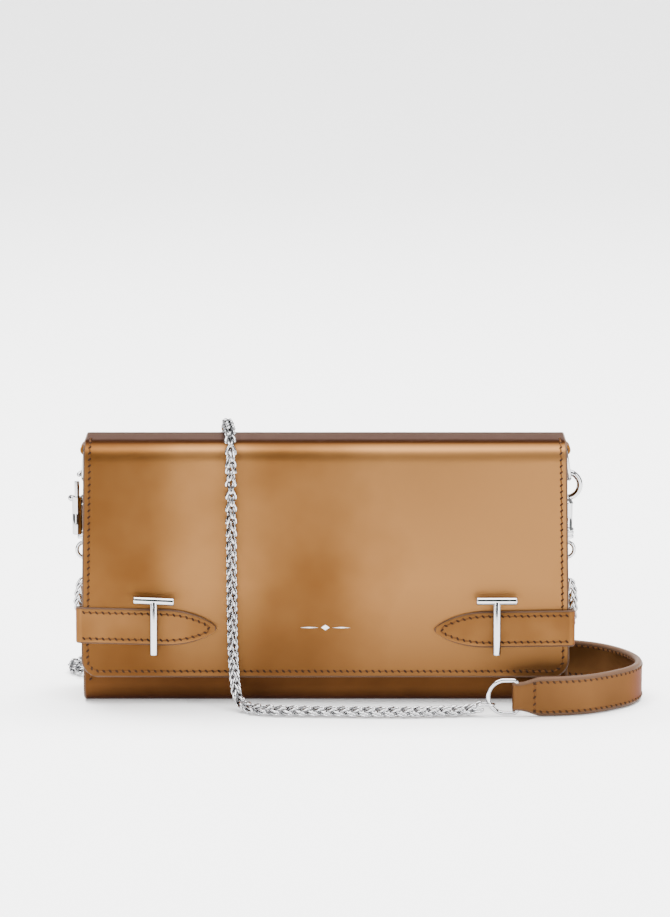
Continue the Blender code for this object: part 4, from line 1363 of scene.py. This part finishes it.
@dataclass
class FlapTrim:
    """Toggle bars, tabs and the foil ornament, in the flap's own axes."""

    case: Case
    rod: float = 3.3 * MM
    bar: float = 16.4 * MM
    low: float = 9.9 * MM
    tall: float = 23.8 * MM
    standoff: float = 4.65 * MM
    post_end: float = 2.9 * MM
    tab_width: float = 14.8 * MM
    tab_thick: float = 1.4 * MM
    tab_point: float = 21 * MM
    tab_return: float = 14 * MM
    air: float = 0.25 * MM

    def toggles(self, finishes: Finishes) -> None:
        """Two T-shaped bars on posts.

        Args:
            finishes: The finishes.
        """
        turn, place = self.case.flap_frame()
        for side in Side:
            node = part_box(side.word + "_toggle_bar")
            x = (node[0][0] + node[1][0]) / 2
            out = -self.standoff
            bar_z = self.low + self.tall - self.rod / 2
            half = self.bar / 2
            tilt = math.radians(2.5) if side is Side.LEFT else 0.0
            rise = half * math.sin(tilt)
            ends = [(x - half, bar_z + rise), (x + half, bar_z - rise)]
            left, right = (np.array([end_x, out, end_z]) for end_x, end_z in ends)
            foot, head = np.array([x, out, self.low]), np.array([x, out, bar_z])
            parts = [
                round_bar(left, right, self.rod / 2, 0.45 * MM),
                round_bar(foot, head, self.rod / 2 * 0.98, 0.45 * MM),
            ]
            for z in (bar_z, self.low + 1.3 * MM):
                inner, outer = np.array([x, self.post_end, z]), np.array([x, out, z])
                parts.append(round_bar(inner, outer, 1.0 * MM, 0.1 * MM, 20))
            surface = joined(parts).moved(turn, place)
            piece = build(side.word + "_toggle", surface, [finishes.nickel])
            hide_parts(side.word + "_toggle_bar")
            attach(piece, "flap")

    def tabs(self, finishes: Finishes) -> None:
        """Pointed tabs that wrap round the flap's sides, stitched all round. A tab's half width is
        sin(share of its point) to the power 0.62.

        Args:
            finishes: The finishes.
        """
        turn, origin = self.case.flap_frame()
        for side in Side:
            height = {Side.LEFT: 21.6 * MM, Side.RIGHT: 20.3 * MM}[side]
            droop = {Side.LEFT: math.radians(1.4), Side.RIGHT: math.radians(0.7)}[side]
            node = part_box(side.word + "_tab")
            edge = max(abs(node[0][0]), abs(node[1][0])) - self.tab_thick
            tip = min(abs(node[0][0]), abs(node[1][0]))
            back = 2.75 * MM
            corners = [(tip, -self.air), (edge, -self.air), (edge, back), (edge - self.tab_return, back)]
            path = even_points(rounded(corners, [1.2 * MM, 1.2 * MM], 8), 0.5 * MM)
            length = path_length(path)
            shares = np.linspace(0, 1, len(path))
            tangent = normalised(np.gradient(path, axis=0))

            def place(u: Points, v: Points, out: float = self.tab_thick) -> Points:
                """The tab's outer face at shares across and along.

                Args:
                    u: Shares across.
                    v: Shares along.
                    out: How far the face stands off the tab's inner line.

                Returns:
                    The points.
                """
                x, y = np.interp(v, shares, path[:, 0]), np.interp(v, shares, path[:, 1])
                tx, ty = np.interp(v, shares, tangent[:, 0]), np.interp(v, shares, tangent[:, 1])
                reach = np.where(v < 0.5, np.clip((x - tip) / self.tab_point, 0, 1), 1.0)
                half = self.tab_width / 2 * np.sin(reach * np.pi / 2) ** 0.62
                z = height - (edge - x) * math.sin(droop) + (2 * u - 1) * half
                points = np.stack([side.value * (x + ty * out), y - tx * out, z], axis=-1)
                return points @ turn.T + origin

            surface = slab(lambda u, v: place(u if side is Side.LEFT else 1 - u, v),
                           (self.tab_width, length), (14, 120), self.tab_thick)
            piece = build(side.word + "_tab_leather", surface, [finishes.tab, finishes.edge])
            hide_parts(side.word + "_tab")
            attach(piece, "flap")
            end = (edge - tip - 2 * MM) / length
            inset = 2.1 * MM
            start = 3.2 * MM / length
            v_up = np.linspace(end, start, 60)
            x_up = np.interp(v_up, shares, path[:, 0])
            reach = np.clip((x_up - tip) / self.tab_point, 0, 1)
            half = self.tab_width / 2 * np.sin(reach * np.pi / 2) ** 0.62
            u_up = 0.5 + 0.5 * np.clip((half - inset) / half, 0, 1)
            line = np.concatenate([place(u_up, v_up), place(1 - u_up[::-1], v_up[::-1])])
            normal = np.tile(turn @ np.array([0, -1.0, 0]), (len(line), 1))
            stitches = stitch_row(line, normal)
            seam = build(side.word + "_tab_stitches", stitches, [finishes.thread, finishes.hole])
            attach(seam, "flap")

    def ornament(self, finishes: Finishes) -> None:
        """A small foil lozenge between two short dashes, each four-cornered, with sunk edges.

        Args:
            finishes: The finishes.
        """
        turn, origin = self.case.flap_frame()
        parts = []
        angle = np.pi / 2 * np.arange(4)
        spread = np.array([0.0, 1.0, 1.0])[:, None]
        depth = np.array([-0.06, -0.06, 0.2])[:, None]
        for centre, long_half, high_half in ((0.0, 1.7, 1.1), (-6.5, 3.6, 0.22), (6.5, 3.6, 0.22)):
            x = centre + spread * long_half * np.cos(angle)
            z = 20.5 + spread * high_half * np.sin(angle)
            parts.append(grid(MM * np.stack([x, depth + 0 * x, z], axis=-1), wrap_columns=True))
        surface = joined(parts)
        bump = self.case.wave(surface.points[:, 0], surface.points[:, 2] / 0.0965)
        surface.points[:, 1] -= bump
        piece = build("foil_ornament", surface.moved(turn, origin), [finishes.foil])
        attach(piece, "flap")


# ---------------------------------------------------------------- rings and hooks


@dataclass
class Hook:
    """D-ring, snap hook, bolt, swivel eye and end ring at one end of the fold. The hook's own middle is
    its jaw's, and its bolt slides on a line beside its long axis."""

    side: Side
    ring_wire: float = 2.0 * MM
    ring_width: float = 14 * MM
    ring_drop: float = 12.6 * MM
    bar: tuple[float, float, float] = (97.2 * MM, 7.0 * MM, 102.1 * MM)
    jaw: float = 5.25 * MM
    jaw_wire: float = 2.4 * MM

    @property
    def bolt_line(self) -> Points:
        """Where the bolt's line crosses the level of the jaw's middle."""
        return MM * np.array([-3.6, 0, 0])

    @property
    def tilt(self) -> float:
        """How far the D-ring hangs out."""
        return math.radians({Side.LEFT: 5, Side.RIGHT: 9}[self.side])

    @property
    def jaw_centre(self) -> Points:
        """The middle of the jaw."""
        offset = {Side.LEFT: 0.0, Side.RIGHT: -0.8 * MM}[self.side]
        x = self.bar[0] + self.ring_drop * math.sin(self.tilt) + offset
        low = self.bar[2] - self.ring_drop * math.cos(self.tilt)
        z = low + self.ring_wire / 2 + 0.3 * MM + self.jaw_wire / 2 - self.jaw
        return np.array([self.side.value * x, self.bar[1], z])

    @property
    def turn(self) -> Points:
        """The hook's turn about its own long axis."""
        angle = math.radians({Side.LEFT: 38, Side.RIGHT: 0}[self.side])
        cos, sin = math.cos(angle), math.sin(angle)
        return np.array([[cos, -sin, 0], [sin, cos, 0], [0, 0, 1]])

    def put(self, part: str, surface: Surface, body: str, node: str, finish: bpy.types.Material) -> None:
        """Place one metal piece, hide the CAD node that it stands for and attach it to its body.

        Args:
            part: The piece's name, without its side.
            surface: Its surface.
            body: The body that it rides, without its side.
            node: The CAD node that it replaces, without its side.
            finish: Its finish.
        """
        piece = build(self.side.word + "_" + part, surface, [finish])
        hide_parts(self.side.word + "_" + node)
        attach(piece, self.side.word + "_" + body)

    def build(self, finishes: Finishes) -> None:
        """All the pieces.

        Args:
            finishes: The finishes.
        """
        nickel = finishes.nickel
        outline = d_path(self.ring_width, self.ring_drop, 2.2 * MM)
        lean = -self.side.value * self.tilt
        across = np.array([math.sin(lean), 0, math.cos(lean)])
        corner = np.array([self.side.value * self.bar[0], self.bar[1], self.bar[2]])
        path = corner + outline[:, :1] * np.array([0, 1.0, 0]) + outline[:, 1:] * across
        self.put("d_ring_wire", tube(path, self.ring_wire / 2, 18, closed=True), "ring", "d_ring", nickel)
        self.put("hook_body", self.body().moved(self.turn, self.jaw_centre), "hook", "hook", nickel)
        self.put("bolt_and_knob", self.bolt().moved(self.turn, self.jaw_centre), "bolt", "bolt", nickel)
        self.put("eye", self.eye().moved(np.eye(3), self.jaw_centre), "eye", "swivel_eye", nickel)
        low, high = (np.array(corner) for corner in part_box(self.side.word + "_end_ring"))
        middle, radius = (low + high) / 2, (high[2] - low[2]) / 2 - 0.7 * MM
        angle = 2 * np.pi * np.arange(40) / 40
        ring = middle + radius * np.stack([0 * angle, np.cos(angle), np.sin(angle)], axis=1)
        self.put("end_ring_wire", tube(ring, 0.7 * MM, 14, closed=True), "eye", "end_ring", nickel)

    def body(self) -> Surface:
        """The jaw's hook, its turned barrel with a ribbed collar, and the bolt's pipe and guide.

        Returns:
            The surface.
        """
        angle = np.radians(np.linspace(-100, 126, 60))
        arc = np.stack([self.jaw * np.cos(angle), 0 * angle, self.jaw * np.sin(angle)], axis=1)
        taper = np.interp(np.linspace(0, 1, 60), [0, 0.08, 0.85, 0.985, 1], [1.15, 1.0, 1.0, 0.8, 0.55])
        jaw = tube(arc, self.jaw_wire / 2 * taper, 18)
        up = np.array([0, 0, 1.0])
        profile = MM * np.array([
            (2.2, -22.2), (2.9, -22.0), (3.0, -21.6), (3.0, -21.0), (2.7, -20.8), (2.7, -20.5), (3.0, -20.3),
            (3.0, -19.4), (2.7, -19.2), (2.7, -18.9), (3.0, -18.7), (3.0, -18.2), (2.75, -17.9), (2.4, -17.6),
            (2.4, -8.2), (2.65, -7.9), (2.75, -7.5), (2.65, -7.1), (2.3, -6.8), (2.0, -6.0), (1.6, -5.2),
            (1.1, -4.7),
        ])
        barrel = turned(profile, np.zeros(3), up)
        pipe = MM * np.array([
            (1.5, -20.0), (1.85, -19.8), (1.95, -19.4), (1.95, -11.4), (1.8, -11.2), (1.25, -11.1),
        ])
        return joined([jaw, barrel, turned(pipe, self.bolt_line, up), self.guide()])

    def guide(self) -> Surface:
        """The bolt's guide: a C-shaped wall, open where the knob runs, its ends closed on its middle line.

        Returns:
            The surface.
        """
        theta = np.radians(np.linspace(140, 400, 22))
        around = MM * np.stack([np.cos(theta), np.sin(theta)], axis=1)
        inner, outer = 1.35 * around, 1.95 * around
        wall = np.concatenate([outer, inner[::-1]])
        middle = (inner + outer) / 2
        core = np.concatenate([middle, middle[::-1]])
        spread = np.array([0.0, 1.0, 1.0, 0.0])[:, None, None]
        level = MM * np.array([-11.3, -11.3, -4.4, -4.4])[:, None, None]
        flat = core + spread * (wall - core)
        points = np.concatenate([flat, np.broadcast_to(level, (*flat.shape[:2], 1))], axis=2)
        return grid(points + self.bolt_line, wrap_columns=True)

    def bolt(self) -> Surface:
        """The sliding pin with its thumb knob.

        Returns:
            The surface.
        """
        low, high = (self.bolt_line + np.array([0, 0, z * MM]) for z in (-12.5, 2.0))
        pin = round_bar(low, high, 1.0 * MM, 0.3 * MM, 20)
        profile = MM * np.array([
            (0.7, 0), (0.7, 2.1), (0.9, 2.3), (1.2, 2.6), (1.3, 3.2), (1.3, 4.3), (1.2, 4.8), (0.9, 5.1),
            (0.5, 5.2),
        ])
        knob = turned(profile, self.bolt_line + np.array([0, 0, -5.6 * MM]), np.array([0, 1.0, 0]), 24)
        return joined([pin, knob])

    def eye(self) -> Surface:
        """The swivel's ring and its stem.

        Returns:
            The surface.
        """
        low, high = (np.array(corner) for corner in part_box(self.side.word + "_swivel_eye"))
        bottom = low[2] - self.jaw_centre[2] + 4.0 * MM
        angle = 2 * np.pi * np.arange(40) / 40
        ring = np.stack([3.2 * MM * np.cos(angle), 0 * angle, bottom + 3.2 * MM * np.sin(angle)], axis=1)
        loop = tube(ring, 0.8 * MM, 14, closed=True)
        foot, head = (np.array([0, 0, z]) for z in (bottom + 3.0 * MM, high[2] - self.jaw_centre[2]))
        stem = round_bar(foot, head, 1.2 * MM, 0.2 * MM, 20)
        return joined([loop, stem])


def dress_frame(finishes: Finishes) -> None:
    """Give the nodes that keep their CAD shape their finishes.

    Args:
        finishes: The finishes.
    """
    pocket = ("pocket_front", "pocket_back", "pocket_gusset")
    wanted = {
        finishes.lining: ("back_lining", "front_lining", "flap_lining", *pocket),
        finishes.inner: ("card_tier_1", "card_tier_2", "card_tier_3"),
        finishes.leather: ("left_gusset", "right_gusset", "left_ring_tab", "right_ring_tab"),
        finishes.tape: ("zip_tape_front", "zip_tape_back"),
        finishes.brass: ("zip_teeth", "zip_slider", "zip_pull"),
    }
    hardware = []
    for word in ("left", "right"):
        hardware += [f"{word}_toggle_washer_upper", f"{word}_toggle_washer_lower", f"{word}_flap_magnet"]
        hardware += [f"{word}_case_magnet", f"{word}_spring"]
    wanted[finishes.nickel] = tuple(hardware)
    for finish, names in wanted.items():
        for name in names:
            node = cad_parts[name]
            node.data.materials.clear()
            node.data.materials.append(finish)


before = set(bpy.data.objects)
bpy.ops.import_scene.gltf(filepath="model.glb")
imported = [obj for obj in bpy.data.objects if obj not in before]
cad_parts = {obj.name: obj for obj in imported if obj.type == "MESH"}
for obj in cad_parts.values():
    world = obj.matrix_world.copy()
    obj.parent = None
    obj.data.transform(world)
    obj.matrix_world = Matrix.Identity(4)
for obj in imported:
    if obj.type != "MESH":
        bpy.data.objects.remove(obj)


def main() -> None:
    """Build the wallet in order: stage, cords, leather, trim, hooks, frame finishes."""
    logging.basicConfig(level=logging.INFO, format="%(name)s %(message)s")
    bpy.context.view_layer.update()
    Studio().build()
    finishes = Finishes()
    chain = WheatChain()
    chain.build("left_chain", LEFT_CHAIN_ROUTE, "left_ring", Side.LEFT, finishes)
    chain.build("right_chain", RIGHT_CHAIN_ROUTE, "right_ring", Side.RIGHT, finishes)
    Strap().build(finishes)
    case = Case()
    case.shell(finishes)
    case.front(finishes)
    trim = FlapTrim(case)
    trim.toggles(finishes)
    trim.tabs(finishes)
    trim.ornament(finishes)
    for side in Side:
        Hook(side).build(finishes)
    dress_frame(finishes)


if __name__ == "__main__":
    main()
